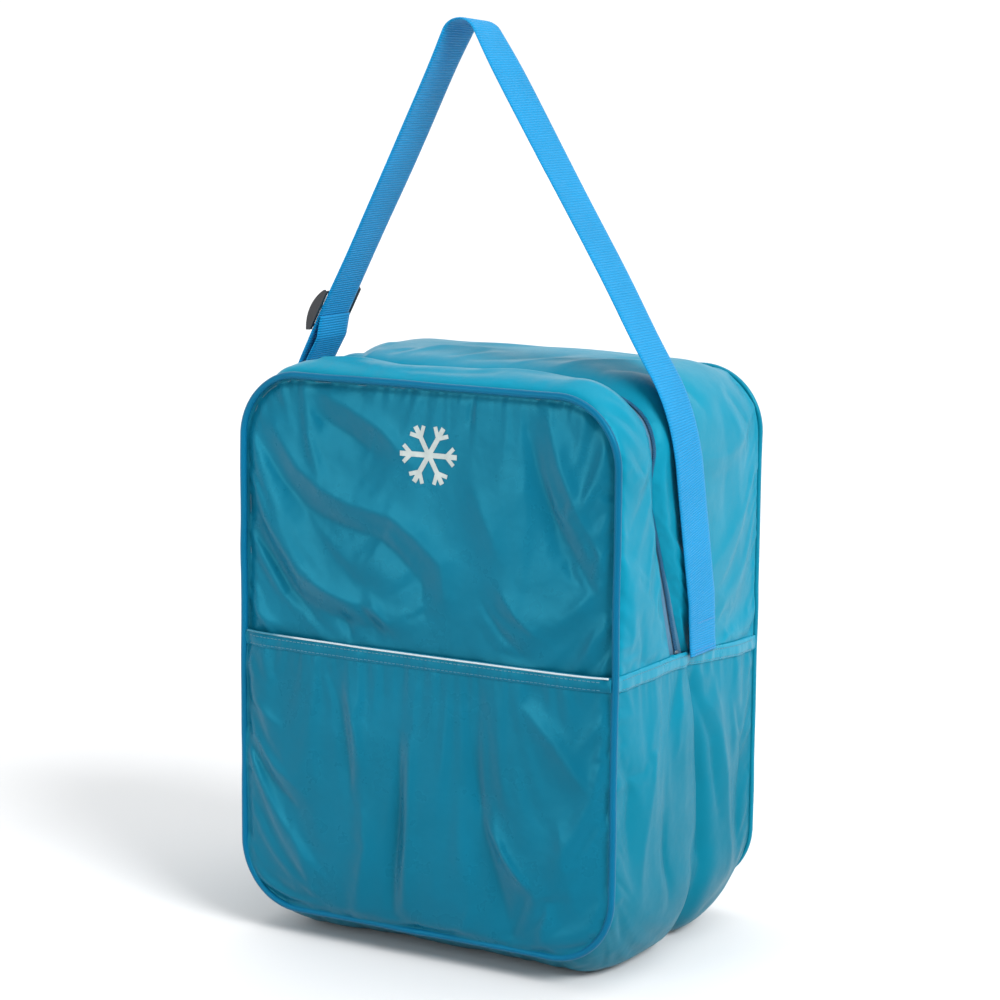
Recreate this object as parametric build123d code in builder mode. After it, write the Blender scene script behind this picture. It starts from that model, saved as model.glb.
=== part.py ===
"""Ski boot bag: a soft box on its base, with a fold-down front flap, a front pocket and a shoulder strap.

Millimetres, +Z up, the front faces -Y. The origin is on the ground under the middle of the bag.
"""

import os

from build123d import *

# Driving dimensions of the bag's body
WIDTH = 304.0
DEPTH = 224.0
HEIGHT = 408.0
BASE_SAG = 18.0  # the front seam's height above the ground, where the base bulges down
WALL = 2.0
PANEL_T = 2.0
GAP = 0.3  # clearance between pieces that lie against each other

# Piping and the seam outline that every panel and gusset follows
PIPING_R = 2.5
REAR_PIPING_R = 2.1
HALF_X = WIDTH / 2 - PIPING_R
TOP_Z = HEIGHT - PIPING_R
SEAM_BOTTOM_Z = BASE_SAG + PIPING_R
CORNER_R = 46.0
SEAM_Y = DEPTH / 2 - 2 * PIPING_R
FLAT_BASE_Y = 75.0  # the flat of the base runs this far to the front and the rear
PANEL_INSET = PIPING_R + GAP
PANEL_Y = SEAM_Y + GAP

# The cross seam, where the flap folds, and the band that covers it
HINGE_Z = 221.0
FLAP_Z = HINGE_Z + 0.4
SEAM_BAND = (1.2, 2 * SEAM_Y - 0.4, 15.0)

# Front pocket
POCKET_FRONT_Y = -116.0
POCKET_T = 1.5
POCKET_RIM = 4.0
POCKET_INSET = PANEL_INSET + 0.4
HEM = (2 * HALF_X - 8.0, 0.8, 11.0)
REFLECTIVE_R = 1.1

# Zip: its line runs up both sides and over the top
ZIP_Y = -48.0
ZIP_SLOT = 14.0
TAPE_W = 12.2
TAPE_T = 1.0
COIL_W = 2.0
COIL_GAP = 1.6
COIL_FRONT_Z = 241.0
COIL_REAR_Z = 224.2
STOP_Z = HINGE_Z + 0.4

# Slider on the left side: two plates, joined by a neck between the coils, and flanges along the coils
SLIDER_Z = 225.0
SLIDER_L = 14.0
SLIDER_W = 11.6
OUTER_PLATE_X = (-151.2, -149.7)
INNER_PLATE_X = (-146.1, -144.9)
FLANGE_X = (-149.7, -147.7)
FLANGE_T = 1.0
NECK_T = 1.0
NECK_LOW = 8.0
CROWN_X = -154.6
CROWN_W = 2.4
CROWN_LOW = 3.0
CROWN_HIGH = 12.0

# Pull: a flat tab with two arms that hold a pin through the crown
PULL_PIVOT = (-153.0, ZIP_Y, 234.0)
PULL_PIN_R = 0.80
PULL_HOLE_R = 0.86
PULL_T = 1.0
PULL_TAB = (8.0, 24.0, 2.5)
PULL_DROP = 18.5
PULL_ARM = (1.4, 8.8)
PULL_ARM_Y = 2.4
PULL_ARM_DROP = 3.6
PULL_PIN_L = 5.2
TAB_HOLE_R = 1.6
TAB_HOLE_DROP = 26.5

# Shoulder strap: legs flat on the sides, then converging to the apex
STRAP_W = 40.0
STRAP_T = 1.6
STRAP_X = 155.2  # inner face of both legs
STRAP_LOW_Y = 18.0
STRAP_TOP_Y = -22.0
STRAP_LOW_Z = 205.0
STRAP_BEND_Z = 388.0
STRAP_LEAN_TOP_Z = 370.0
APEX = (-17.0, 664.0)
APEX_R = 14.0
BEND_R = 20.0
LEFT_MAIN_X = -159.6
RETURN_T = 1.5
RETURN_OFFSET = 3.0
RETURN_RISE = 44.0
FOLD_Z = 224.0

# Ring and tab at the strap's left end
RING_BAR = 4.0
RING_T = 1.7
RING_X = -157.75
RING_LOW_Z = 212.0
RING_H = 18.0
RING_SIDE_GAP = 0.6
TAB_LOW_Z = 200.0
TAB_H = 17.9
TAB_SLOT_GAP = 0.2

# Folded-under ends that are sewn into the cross seam
END_FOLD_W = 30.0
END_FOLD_H = 16.0
END_FOLD_LOW_Z = STRAP_LOW_Z - 1.0
END_FOLD_GAP = 1.8

# Adjuster on the strap's left leg
ADJUSTER_RISE = 63.0
ADJUSTER_HALF_L = 16.5
ADJUSTER_RAIL_T = 3.0
ADJUSTER_ARCH = 6.0
ADJUSTER_END = 1.5
ADJUSTER_INNER = -1.2
END_BAR_R = 1.0
CENTRE_BAR_R = 1.4

# Printed snow crystal
MARK_T = 0.25
MARK_CENTRE = (4.0, 358.0)
MARK_R = 22.0
MARK_STROKE = 3.6
MARK_FORK_R = 13.5
MARK_BARB_L = 8.4
MARK_BARB_W = 2.9


def seam_outline(grow, bottom=SEAM_BOTTOM_Z):
    """The body's rounded outline in the front view, grown outwards by grow."""
    top = TOP_Z + grow
    low = bottom - grow
    with Locations((0, (top + low) / 2)):
        RectangleRounded(2 * (HALF_X + grow), top - low, CORNER_R + grow)


def at_y(y):
    """The front-view plane that stands at y; it faces -Y."""
    return Plane.XZ.offset(-y)


def panel(y_front, y_back, inset):
    """A flat panel inside the seam outline."""
    with BuildSketch(at_y(y_back)) as outline:
        seam_outline(-inset)
    extrude(outline.sketch, amount=y_back - y_front)


def ring(y_front, y_back, outer, inner):
    """A band that follows the seam outline, between two insets."""
    for inset, mode in ((outer, Mode.ADD), (inner, Mode.SUBTRACT)):
        with BuildSketch(at_y(y_back)) as outline:
            seam_outline(-inset)
        extrude(outline.sketch, amount=y_back - y_front, mode=mode)


def piping(y, radius):
    """A round cord sewn all along the seam outline."""
    with BuildSketch(at_y(y)) as outline:
        seam_outline(0)
    start = Plane(origin=(0, y, TOP_Z), x_dir=(0, 1, 0), z_dir=(1, 0, 0))
    with BuildSketch(start) as section:
        Circle(radius)
    sweep(section.sketch, path=outline.sketch.face().outer_wire())


def gusset_tube():
    """The whole wall between the front and rear seams; its base bulges down to the ground."""
    for grow, mode in ((0, Mode.ADD), (-WALL, Mode.SUBTRACT)):
        with BuildSketch(at_y(FLAT_BASE_Y)) as middle:
            seam_outline(grow, 0)
        extrude(middle.sketch, amount=2 * FLAT_BASE_Y, mode=mode)
        for side in (-1, 1):
            with BuildSketch(at_y(side * FLAT_BASE_Y)) as inner_end:
                seam_outline(grow, 0)
            with BuildSketch(at_y(side * SEAM_Y)) as seam_end:
                seam_outline(grow)
            loft([inner_end.sketch.face(), seam_end.sketch.face()], ruled=True, mode=mode)


def keep_above(z):
    split(bisect_by=Plane.XY.offset(z), keep=Keep.TOP)


def keep_below(z):
    split(bisect_by=Plane.XY.offset(z), keep=Keep.BOTTOM)


def bar(low, high, mode=Mode.ADD):
    """An upright block between two corners."""
    with BuildSketch(Plane.XY.offset(low[2])) as footprint:
        with Locations(((low[0] + high[0]) / 2, (low[1] + high[1]) / 2)):
            Rectangle(high[0] - low[0], high[1] - low[1])
    extrude(footprint.sketch, amount=high[2] - low[2], mode=mode)


# --- the bag's fixed shell ---

with BuildPart() as lower_gusset:
    gusset_tube()
    keep_below(HINGE_Z)

with BuildPart() as rear_gusset_strip:
    gusset_tube()
    keep_above(HINGE_Z)
    split(bisect_by=at_y(ZIP_Y + ZIP_SLOT / 2), keep=Keep.BOTTOM)

with BuildPart() as rear_panel:
    panel(PANEL_Y, PANEL_Y + PANEL_T, PANEL_INSET)

with BuildPart() as rear_piping:
    piping(SEAM_Y + GAP + REAR_PIPING_R, REAR_PIPING_R)

with BuildPart() as rear_seam_binding:
    ring(SEAM_Y - 9.0, SEAM_Y - 0.5, WALL + GAP, 2 * WALL + GAP)

with BuildPart() as lower_front_panel:
    panel(-PANEL_Y - PANEL_T, -PANEL_Y, PANEL_INSET)
    keep_below(HINGE_Z)

with BuildPart() as front_piping_lower:
    piping(-SEAM_Y - GAP - PIPING_R, PIPING_R)
    keep_below(HINGE_Z)

with BuildPart() as front_seam_binding_lower:
    ring(-SEAM_Y + 0.5, -SEAM_Y + 9.0, WALL + GAP, 2 * WALL + GAP)
    keep_below(HINGE_Z)

# A folded band with two rows of stitching covers the cross seam on each side
SIDES = (("left", -1), ("right", 1))
seam_bands = []
for side_name, side in SIDES:
    with BuildPart() as band:
        with BuildSketch(Plane.YZ.offset(side * (HALF_X + 0.2))):
            with Locations((0, HINGE_Z - SEAM_BAND[2] / 2)):
                RectangleRounded(SEAM_BAND[1], SEAM_BAND[2], 2.0)
        extrude(amount=side * SEAM_BAND[0])
    band.part.label = f"cross_seam_band_{side_name}"
    seam_bands.append(band.part)

# --- the front pocket: a shallow tray, open at the top ---

pocket_back_y = -PANEL_Y - PANEL_T - 0.2

with BuildPart() as front_pocket_panel:
    panel(POCKET_FRONT_Y, pocket_back_y, POCKET_INSET)
    with BuildSketch(at_y(pocket_back_y)):
        seam_outline(-POCKET_INSET - POCKET_RIM)
    extrude(amount=pocket_back_y - POCKET_FRONT_Y - POCKET_T, mode=Mode.SUBTRACT)
    keep_below(HINGE_Z)

hem_front_y = POCKET_FRONT_Y - 0.1 - HEM[1]
with BuildPart() as pocket_hem:
    with BuildSketch(at_y(hem_front_y + HEM[1])):
        with Locations((0, HINGE_Z - HEM[2] / 2)):
            Rectangle(HEM[0], HEM[2])
    extrude(amount=HEM[1])

reflective_y = hem_front_y - 0.1 - REFLECTIVE_R
with BuildPart() as pocket_reflective_piping:
    with BuildSketch(Plane.YZ.offset(-HEM[0] / 2)):
        with Locations((reflective_y, HINGE_Z - REFLECTIVE_R - 0.1)):
            Circle(REFLECTIVE_R)
    extrude(amount=HEM[0])

# --- the flap ---

with BuildPart() as upper_front_panel:
    panel(-PANEL_Y - PANEL_T, -PANEL_Y, PANEL_INSET)
    keep_above(FLAP_Z)

with BuildPart() as front_gusset_strip:
    gusset_tube()
    keep_above(FLAP_Z)
    split(bisect_by=at_y(ZIP_Y - ZIP_SLOT / 2), keep=Keep.TOP)

with BuildPart() as front_piping_upper:
    piping(-SEAM_Y - GAP - PIPING_R, PIPING_R)
    keep_above(FLAP_Z)

with BuildPart() as front_seam_binding_upper:
    ring(-SEAM_Y + 0.5, -SEAM_Y + 9.0, WALL + GAP, 2 * WALL + GAP)
    keep_above(FLAP_Z)

with BuildPart() as printed_mark:
    with BuildSketch(at_y(-PANEL_Y - PANEL_T)):
        for turn in range(3):
            with Locations(Location(MARK_CENTRE, 60.0 * turn)):
                Rectangle(2 * MARK_R, MARK_STROKE)
        for arm in range(6):
            fork = Vector(MARK_FORK_R, 0).rotate(Axis.Z, 60.0 * arm) + Vector(*MARK_CENTRE)
            for lean in (-45.0, 45.0):
                middle = fork + Vector(MARK_BARB_L / 2, 0).rotate(Axis.Z, 60.0 * arm + lean)
                with Locations(Location((middle.X, middle.Y), 60.0 * arm + lean)):
                    Rectangle(MARK_BARB_L, MARK_BARB_W)
    extrude(amount=MARK_T)

# --- the zip: two tapes with a coil bead each, and the end stops ---

tape_outer = WALL + 0.2
half_gap = COIL_GAP / 2

with BuildPart() as zip_tape_front:
    ring(ZIP_Y - half_gap - TAPE_W, ZIP_Y - half_gap, tape_outer, tape_outer + TAPE_T)
    keep_above(FLAP_Z)

with BuildPart() as zip_tape_rear:
    ring(ZIP_Y + half_gap, ZIP_Y + half_gap + TAPE_W, tape_outer, tape_outer + TAPE_T)
    keep_above(HINGE_Z)

with BuildPart() as zip_coil_front:
    ring(ZIP_Y - half_gap - COIL_W, ZIP_Y - half_gap, 0.2, WALL)
    keep_above(COIL_FRONT_Z)

with BuildPart() as zip_coil_rear:
    ring(ZIP_Y + half_gap, ZIP_Y + half_gap + COIL_W, 0.2, WALL)
    keep_above(COIL_REAR_Z)

with BuildPart() as zip_end_stops:
    for side in (-1, 1):
        face = side * (HALF_X - WALL)
        edge = side * (HALF_X - 0.2)
        low = (min(face, edge), ZIP_Y + half_gap, STOP_Z)
        high = (max(face, edge), ZIP_Y + half_gap + COIL_W + 0.6, COIL_REAR_Z - 0.2)
        bar(low, high)

# --- the slider on the left side, with its pull hanging down ---

slider_top = SLIDER_Z + SLIDER_L
slider_low_y = ZIP_Y - SLIDER_W / 2
slider_high_y = ZIP_Y + SLIDER_W / 2

with BuildPart() as zip_slider:
    for plate_low, plate_high in (OUTER_PLATE_X, INNER_PLATE_X):
        bar((plate_low, slider_low_y, SLIDER_Z), (plate_high, slider_high_y, slider_top))
    for flange_y in (slider_low_y, slider_high_y - FLANGE_T):
        flange_low = (FLANGE_X[0], flange_y, SLIDER_Z)
        bar(flange_low, (FLANGE_X[1], flange_y + FLANGE_T, slider_top))
    neck_low = (OUTER_PLATE_X[1] - 0.1, ZIP_Y - NECK_T / 2, SLIDER_Z + NECK_LOW)
    bar(neck_low, (INNER_PLATE_X[0] + 0.1, ZIP_Y + NECK_T / 2, slider_top))
    crown_low = (CROWN_X, ZIP_Y - CROWN_W / 2, SLIDER_Z + CROWN_LOW)
    bar(crown_low, (OUTER_PLATE_X[0], ZIP_Y + CROWN_W / 2, SLIDER_Z + CROWN_HIGH))
    with BuildSketch(at_y(ZIP_Y + CROWN_W)):
        with Locations((PULL_PIVOT[0], PULL_PIVOT[2])):
            Circle(PULL_HOLE_R)
    extrude(amount=2 * CROWN_W, mode=Mode.SUBTRACT)

with BuildPart() as zip_pull:
    with BuildSketch(Plane.YZ.offset(PULL_PIVOT[0] - PULL_T / 2)):
        with Locations((ZIP_Y, PULL_PIVOT[2] - PULL_DROP)):
            RectangleRounded(*PULL_TAB)
        for side in (-1, 1):
            with Locations((ZIP_Y + side * PULL_ARM_Y, PULL_PIVOT[2] - PULL_ARM_DROP)):
                Rectangle(*PULL_ARM)
        with Locations((ZIP_Y, PULL_PIVOT[2] - TAB_HOLE_DROP)):
            Circle(TAB_HOLE_R, mode=Mode.SUBTRACT)
    extrude(amount=PULL_T)
    with BuildSketch(at_y(ZIP_Y + PULL_PIN_L / 2)):
        with Locations((PULL_PIVOT[0], PULL_PIVOT[2])):
            Circle(PULL_PIN_R)
    extrude(amount=PULL_PIN_L)

# --- the shoulder strap ---

half_w = STRAP_W / 2


def strap_leg(x_low, x_high, z_low):
    """A leg lying flat on the bag's side, leaning forward to the top corner."""
    with BuildSketch(Plane.YZ.offset(x_low)) as side_view:
        with BuildLine():
            Polyline(
                (STRAP_LOW_Y - half_w, z_low),
                (STRAP_LOW_Y + half_w, z_low),
                (STRAP_TOP_Y + half_w, STRAP_LEAN_TOP_Z),
                (STRAP_TOP_Y + half_w, STRAP_LEAN_TOP_Z + 5.0),
                (STRAP_TOP_Y - half_w, STRAP_LEAN_TOP_Z + 5.0),
                (STRAP_TOP_Y - half_w, STRAP_LEAN_TOP_Z),
                close=True,
            )
        make_face()
    extrude(side_view.sketch, amount=x_high - x_low)


def strap_run(points, radii, thickness):
    """Webbing that follows a line in the front view, across its whole width."""
    with BuildSketch(at_y(STRAP_TOP_Y)) as front_view:
        with BuildLine():
            FilletPolyline(*points, radius=radii)
        trace(line_width=thickness)
    extrude(front_view.sketch, amount=half_w, both=True)


right_x = STRAP_X + STRAP_T / 2
with BuildPart() as strap_webbing:
    strap_leg(STRAP_X, STRAP_X + STRAP_T, STRAP_LOW_Z)
    strap_leg(LEFT_MAIN_X - STRAP_T / 2, LEFT_MAIN_X + STRAP_T / 2, FOLD_Z)
    strap_run(
        [
            (right_x, STRAP_LEAN_TOP_Z),
            (right_x, STRAP_BEND_Z),
            APEX,
            (LEFT_MAIN_X, STRAP_BEND_Z),
            (LEFT_MAIN_X, STRAP_LEAN_TOP_Z),
        ],
        [BEND_R, APEX_R, BEND_R],
        STRAP_T,
    )

# The direction of the left leg above its bend, and the side of it that faces the other leg
left_leg = Vector(APEX[0] - LEFT_MAIN_X, 0, APEX[1] - STRAP_BEND_Z).normalized()
left_inward = Vector(left_leg.Z, 0, -left_leg.X)
return_x = -STRAP_X - RETURN_T / 2
return_start = Vector(LEFT_MAIN_X, 0, STRAP_BEND_Z) + left_inward * RETURN_OFFSET
bend_step = (return_x - return_start.X) / left_leg.X
return_bend = return_start + left_leg * bend_step
return_top = return_start + left_leg * RETURN_RISE

with BuildPart() as strap_return_layer:
    strap_leg(-STRAP_X - RETURN_T, -STRAP_X, FOLD_Z + 1.8)
    strap_run(
        [(return_x, STRAP_LEAN_TOP_Z), (return_x, return_bend.Z), (return_top.X, return_top.Z)],
        [BEND_R],
        RETURN_T,
    )

with BuildPart() as strap_fold:
    low_y = STRAP_LOW_Y - half_w
    fold_low = (LEFT_MAIN_X + STRAP_T / 2 + 0.05, low_y, FOLD_Z)
    fold_high = (-STRAP_X, low_y + STRAP_W, FOLD_Z + 1.6)
    bar(fold_low, fold_high)

ring_low_x = RING_X - RING_T / 2
ring_high_x = RING_X + RING_T / 2
ring_half_y = half_w + RING_SIDE_GAP
with BuildPart() as strap_ring:
    with BuildSketch(Plane.YZ.offset(ring_low_x)):
        with Locations((STRAP_LOW_Y, RING_LOW_Z + RING_H / 2)):
            RectangleRounded(2 * (ring_half_y + RING_BAR), RING_H, 3.0)
            Rectangle(2 * ring_half_y, RING_H - 2 * RING_BAR, mode=Mode.SUBTRACT)
    extrude(amount=RING_T)

with BuildPart() as strap_ring_tab:
    low_y = STRAP_LOW_Y - half_w + 0.5
    high_y = STRAP_LOW_Y + half_w - 0.5
    bar((LEFT_MAIN_X - STRAP_T / 2, low_y, TAB_LOW_Z), (-STRAP_X, high_y, TAB_LOW_Z + TAB_H))
    slot_low = (ring_low_x - TAB_SLOT_GAP, low_y, RING_LOW_Z - TAB_SLOT_GAP)
    slot_high = (ring_high_x + TAB_SLOT_GAP, high_y, RING_LOW_Z + RING_BAR + TAB_SLOT_GAP)
    bar(slot_low, slot_high, mode=Mode.SUBTRACT)

# The strap's ends are folded under and sewn into the cross seam
end_folds = []
for side_name, side in SIDES:
    near = side * (HALF_X + END_FOLD_GAP)
    far = side * (STRAP_X - 0.1)
    with BuildPart() as end_fold:
        fold_low = (min(near, far), STRAP_LOW_Y - END_FOLD_W / 2, END_FOLD_LOW_Z)
        fold_high = (max(near, far), STRAP_LOW_Y + END_FOLD_W / 2, END_FOLD_LOW_Z + END_FOLD_H)
        bar(fold_low, fold_high)
    end_fold.part.label = f"strap_end_fold_{side_name}"
    end_folds.append(end_fold.part)

# --- the adjuster: two arched rails with three bars, round the left leg ---

adjuster_centre = Vector(LEFT_MAIN_X, STRAP_TOP_Y, STRAP_BEND_Z) + left_leg * ADJUSTER_RISE
rail_inner_y = half_w + 0.6


def adjuster_plane(y_offset):
    centre = adjuster_centre + Vector(0, y_offset, 0)
    return Plane(origin=centre, x_dir=left_leg, z_dir=(0, -1, 0))


with BuildPart() as strap_adjuster:
    for rail_y in (-rail_inner_y, rail_inner_y + ADJUSTER_RAIL_T):
        with BuildSketch(adjuster_plane(rail_y)):
            with BuildLine():
                ThreePointArc(
                    (-ADJUSTER_HALF_L, ADJUSTER_END),
                    (0, ADJUSTER_ARCH),
                    (ADJUSTER_HALF_L, ADJUSTER_END),
                )
                Polyline(
                    (ADJUSTER_HALF_L, ADJUSTER_END),
                    (ADJUSTER_HALF_L - 1.5, ADJUSTER_INNER),
                    (1.5 - ADJUSTER_HALF_L, ADJUSTER_INNER),
                    (-ADJUSTER_HALF_L, ADJUSTER_END),
                )
            make_face()
        extrude(amount=ADJUSTER_RAIL_T)
    with BuildSketch(adjuster_plane(rail_inner_y + 0.5)):
        for end in (-1, 1):
            with Locations((end * (ADJUSTER_HALF_L - 2.8), STRAP_T / 2 + GAP + END_BAR_R)):
                Circle(END_BAR_R)
        with Locations((0, ADJUSTER_ARCH - CENTRE_BAR_R - 0.2)):
            Circle(CENTRE_BAR_R)
    extrude(amount=2 * rail_inner_y + 1.0)

# --- write every piece ---

lower_gusset.part.label = "lower_gusset"
rear_gusset_strip.part.label = "rear_gusset_strip"
rear_panel.part.label = "rear_panel"
rear_piping.part.label = "rear_piping"
rear_seam_binding.part.label = "rear_seam_binding"
lower_front_panel.part.label = "lower_front_panel"
front_piping_lower.part.label = "front_piping_lower"
front_seam_binding_lower.part.label = "front_seam_binding_lower"
front_pocket_panel.part.label = "front_pocket_panel"
pocket_hem.part.label = "pocket_hem"
pocket_reflective_piping.part.label = "pocket_reflective_piping"
upper_front_panel.part.label = "upper_front_panel"
front_gusset_strip.part.label = "front_gusset_strip"
front_piping_upper.part.label = "front_piping_upper"
front_seam_binding_upper.part.label = "front_seam_binding_upper"
printed_mark.part.label = "printed_mark"
zip_tape_front.part.label = "zip_tape_front"
zip_tape_rear.part.label = "zip_tape_rear"
zip_coil_front.part.label = "zip_coil_front"
zip_coil_rear.part.label = "zip_coil_rear"
zip_end_stops.part.label = "zip_end_stops"
zip_slider.part.label = "zip_slider"
zip_pull.part.label = "zip_pull"
strap_webbing.part.label = "strap_webbing"
strap_return_layer.part.label = "strap_return_layer"
strap_fold.part.label = "strap_fold"
strap_ring.part.label = "strap_ring"
strap_ring_tab.part.label = "strap_ring_tab"
strap_adjuster.part.label = "strap_adjuster"

pieces = [
    lower_gusset.part,
    rear_gusset_strip.part,
    rear_panel.part,
    rear_piping.part,
    rear_seam_binding.part,
    lower_front_panel.part,
    front_piping_lower.part,
    front_seam_binding_lower.part,
    *seam_bands,
    front_pocket_panel.part,
    pocket_hem.part,
    pocket_reflective_piping.part,
    upper_front_panel.part,
    front_gusset_strip.part,
    front_piping_upper.part,
    front_seam_binding_upper.part,
    printed_mark.part,
    zip_tape_front.part,
    zip_tape_rear.part,
    zip_coil_front.part,
    zip_coil_rear.part,
    zip_end_stops.part,
    zip_slider.part,
    zip_pull.part,
    strap_webbing.part,
    strap_return_layer.part,
    strap_fold.part,
    strap_ring.part,
    strap_ring_tab.part,
    *end_folds,
    strap_adjuster.part,
]

os.makedirs("parts", exist_ok=True)
for piece in pieces:
    export_step(piece, f"parts/{piece.label}.step")
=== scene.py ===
"""Looks of the ski boot bag: soft shell, pocket, zip, piping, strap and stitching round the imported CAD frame.

Metres, +Z up, the front faces -Y. The seam outline is a rounded rectangle in the front view. A place on the
gusset is (s, y): s runs along the outline from the middle of the top, positive down the right side.
"""

import math

import bmesh
import bpy
import numpy as np
from mathutils import Matrix, Vector, noise
from mathutils.bvhtree import BVHTree


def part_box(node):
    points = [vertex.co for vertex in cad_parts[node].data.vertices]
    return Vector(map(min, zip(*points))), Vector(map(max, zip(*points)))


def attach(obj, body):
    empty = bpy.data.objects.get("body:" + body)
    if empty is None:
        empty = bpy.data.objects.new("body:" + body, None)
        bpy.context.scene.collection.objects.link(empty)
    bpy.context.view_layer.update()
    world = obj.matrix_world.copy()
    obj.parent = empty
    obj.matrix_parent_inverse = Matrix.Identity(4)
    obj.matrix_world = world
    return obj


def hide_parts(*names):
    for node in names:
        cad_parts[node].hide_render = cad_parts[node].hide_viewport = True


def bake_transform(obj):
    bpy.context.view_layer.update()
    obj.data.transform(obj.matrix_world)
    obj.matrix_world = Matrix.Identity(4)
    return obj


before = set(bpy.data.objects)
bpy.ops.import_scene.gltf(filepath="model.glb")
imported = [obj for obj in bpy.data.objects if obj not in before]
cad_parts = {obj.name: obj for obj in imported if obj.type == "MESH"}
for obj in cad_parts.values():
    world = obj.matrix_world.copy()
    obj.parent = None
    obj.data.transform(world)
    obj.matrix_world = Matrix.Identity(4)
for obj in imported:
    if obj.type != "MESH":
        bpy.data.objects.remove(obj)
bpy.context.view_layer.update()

MM = 0.001

# --- the frame's measures ---

_, shell_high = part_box("lower_gusset")
_, strip_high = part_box("rear_gusset_strip")
piping_low, piping_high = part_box("front_piping_upper")
rear_piping_low, rear_piping_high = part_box("rear_piping")
panel_low, panel_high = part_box("lower_front_panel")
reflective_low, reflective_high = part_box("pocket_reflective_piping")
strap_low, strap_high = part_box("strap_webbing")
end_fold_low, end_fold_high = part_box("strap_end_fold_right")

HALF_X = shell_high.x
SEAM_Y = shell_high.y
HINGE_Z = shell_high.z
TOP_Z = strip_high.z
PIPING_R = (piping_high.y - piping_low.y) / 2
PIPING_Y = (piping_high.y + piping_low.y) / 2
REAR_PIPING_R = (rear_piping_high.y - rear_piping_low.y) / 2
REAR_PIPING_Y = (rear_piping_high.y + rear_piping_low.y) / 2
BOTTOM_Z = rear_piping_low.z + REAR_PIPING_R
CORNER_R = 0.046
CLOTH_T = 0.0008
INSET = HALF_X - panel_high.x
# The panels' edges run this far inside the outline, under the piping
TUCK = 0.0008

# Arc lengths along the outline where the straight runs and the corners meet
S_CORNER = HALF_X - CORNER_R
S_SIDE = S_CORNER + CORNER_R * math.pi / 2
S_LOW = S_SIDE + TOP_Z - BOTTOM_Z - 2 * CORNER_R
S_BASE = S_LOW + CORNER_R * math.pi / 2
S_HALF = S_BASE + S_CORNER

# The strap's sewn ends turn about this place
STRAP_END_Y = (end_fold_low.y + end_fold_high.y) / 2
STRAP_END_Z = 0.213
# Rays that look for the cloth start this far out, and stitches stand this far off it
RAY_START = 0.2
THREAD_LIFT = 0.0002

TO_REAR = np.array([0.0, 1.0, 0.0])


def smooth(t):
    t = np.clip(t, 0.0, 1.0)
    return t * t * (3 - 2 * t)


def outline(s):
    """x, z and the outward normal of the seam outline at arc lengths s."""
    s = np.asarray(s, float)
    side = np.where(s < 0, -1.0, 1.0)
    a = np.abs(s)
    beyond = a > S_HALF
    side = np.where(beyond, -side, side)
    a = np.where(beyond, 2 * S_HALF - a, a)
    upper = np.clip((a - S_CORNER) / CORNER_R, 0, math.pi / 2)
    lower = np.clip((a - S_LOW) / CORNER_R, 0, math.pi / 2)
    turn = upper + lower
    nx, nz = np.sin(turn), np.cos(turn)
    x = np.minimum(a, S_CORNER) + CORNER_R * np.sin(upper)
    x = np.where(a > S_LOW, S_CORNER + CORNER_R * np.cos(lower) - np.maximum(a - S_BASE, 0), x)
    z = TOP_Z - CORNER_R * (1 - np.cos(upper)) - np.clip(a - S_SIDE, 0, S_LOW - S_SIDE)
    z = np.where(a > S_LOW, BOTTOM_Z + CORNER_R * (1 - np.sin(lower)), z)
    return side * x, z, side * nx, nz


def side_s(z):
    """Arc length of the straight side at height z."""
    return S_SIDE + (TOP_Z - CORNER_R) - z


def edge_place(x, z):
    """(s, t): the nearest place on the outline, and how far inside it (x, z) is."""
    cx = HALF_X - CORNER_R
    middle = (TOP_Z + BOTTOM_Z) / 2
    cz = (TOP_Z - BOTTOM_Z) / 2 - CORNER_R
    qx = np.abs(x) - cx
    qz = np.abs(z - middle) - cz
    outer = np.hypot(np.maximum(qx, 0), np.maximum(qz, 0))
    t = CORNER_R - outer - np.minimum(np.maximum(qx, qz), 0)
    corner = (qx > 0) & (qz > 0)
    bend = np.arctan2(np.maximum(qx, 1e-9), np.maximum(qz, 1e-9)) * CORNER_R
    flat = qz > qx
    top = z > middle
    s = np.where(flat, np.abs(x), side_s(z))
    s = np.where(flat & ~top, S_HALF - np.abs(x), s)
    s = np.where(corner & top, S_CORNER + bend, s)
    s = np.where(corner & ~top, S_BASE - bend, s)
    return np.where(x < 0, -s, s), t


def wave(s, pitch, seed):
    """A smooth random line over s in [0, 1], with a new value about every pitch."""
    rng = np.random.default_rng(seed)
    knots = np.cumsum(pitch * rng.uniform(0.6, 1.5, 900)) - 1.2
    values = rng.uniform(0.0, 1.0, 900) ** 1.6
    i = np.clip(np.searchsorted(knots, s) - 1, 0, 898)
    t = smooth((s - knots[i]) / (knots[i + 1] - knots[i]))
    return values[i] * (1 - t) + values[i + 1] * t


def ripple(points, pitch, seed):
    """Smooth noise of about that pitch at each point."""
    shift = Vector((seed * 3.1, seed * 1.7, seed * 5.3))
    flat = points.reshape(-1, 3) / pitch
    values = [noise.noise(Vector(p) + shift) for p in flat]
    return np.array(values).reshape(points.shape[:-1])


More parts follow.
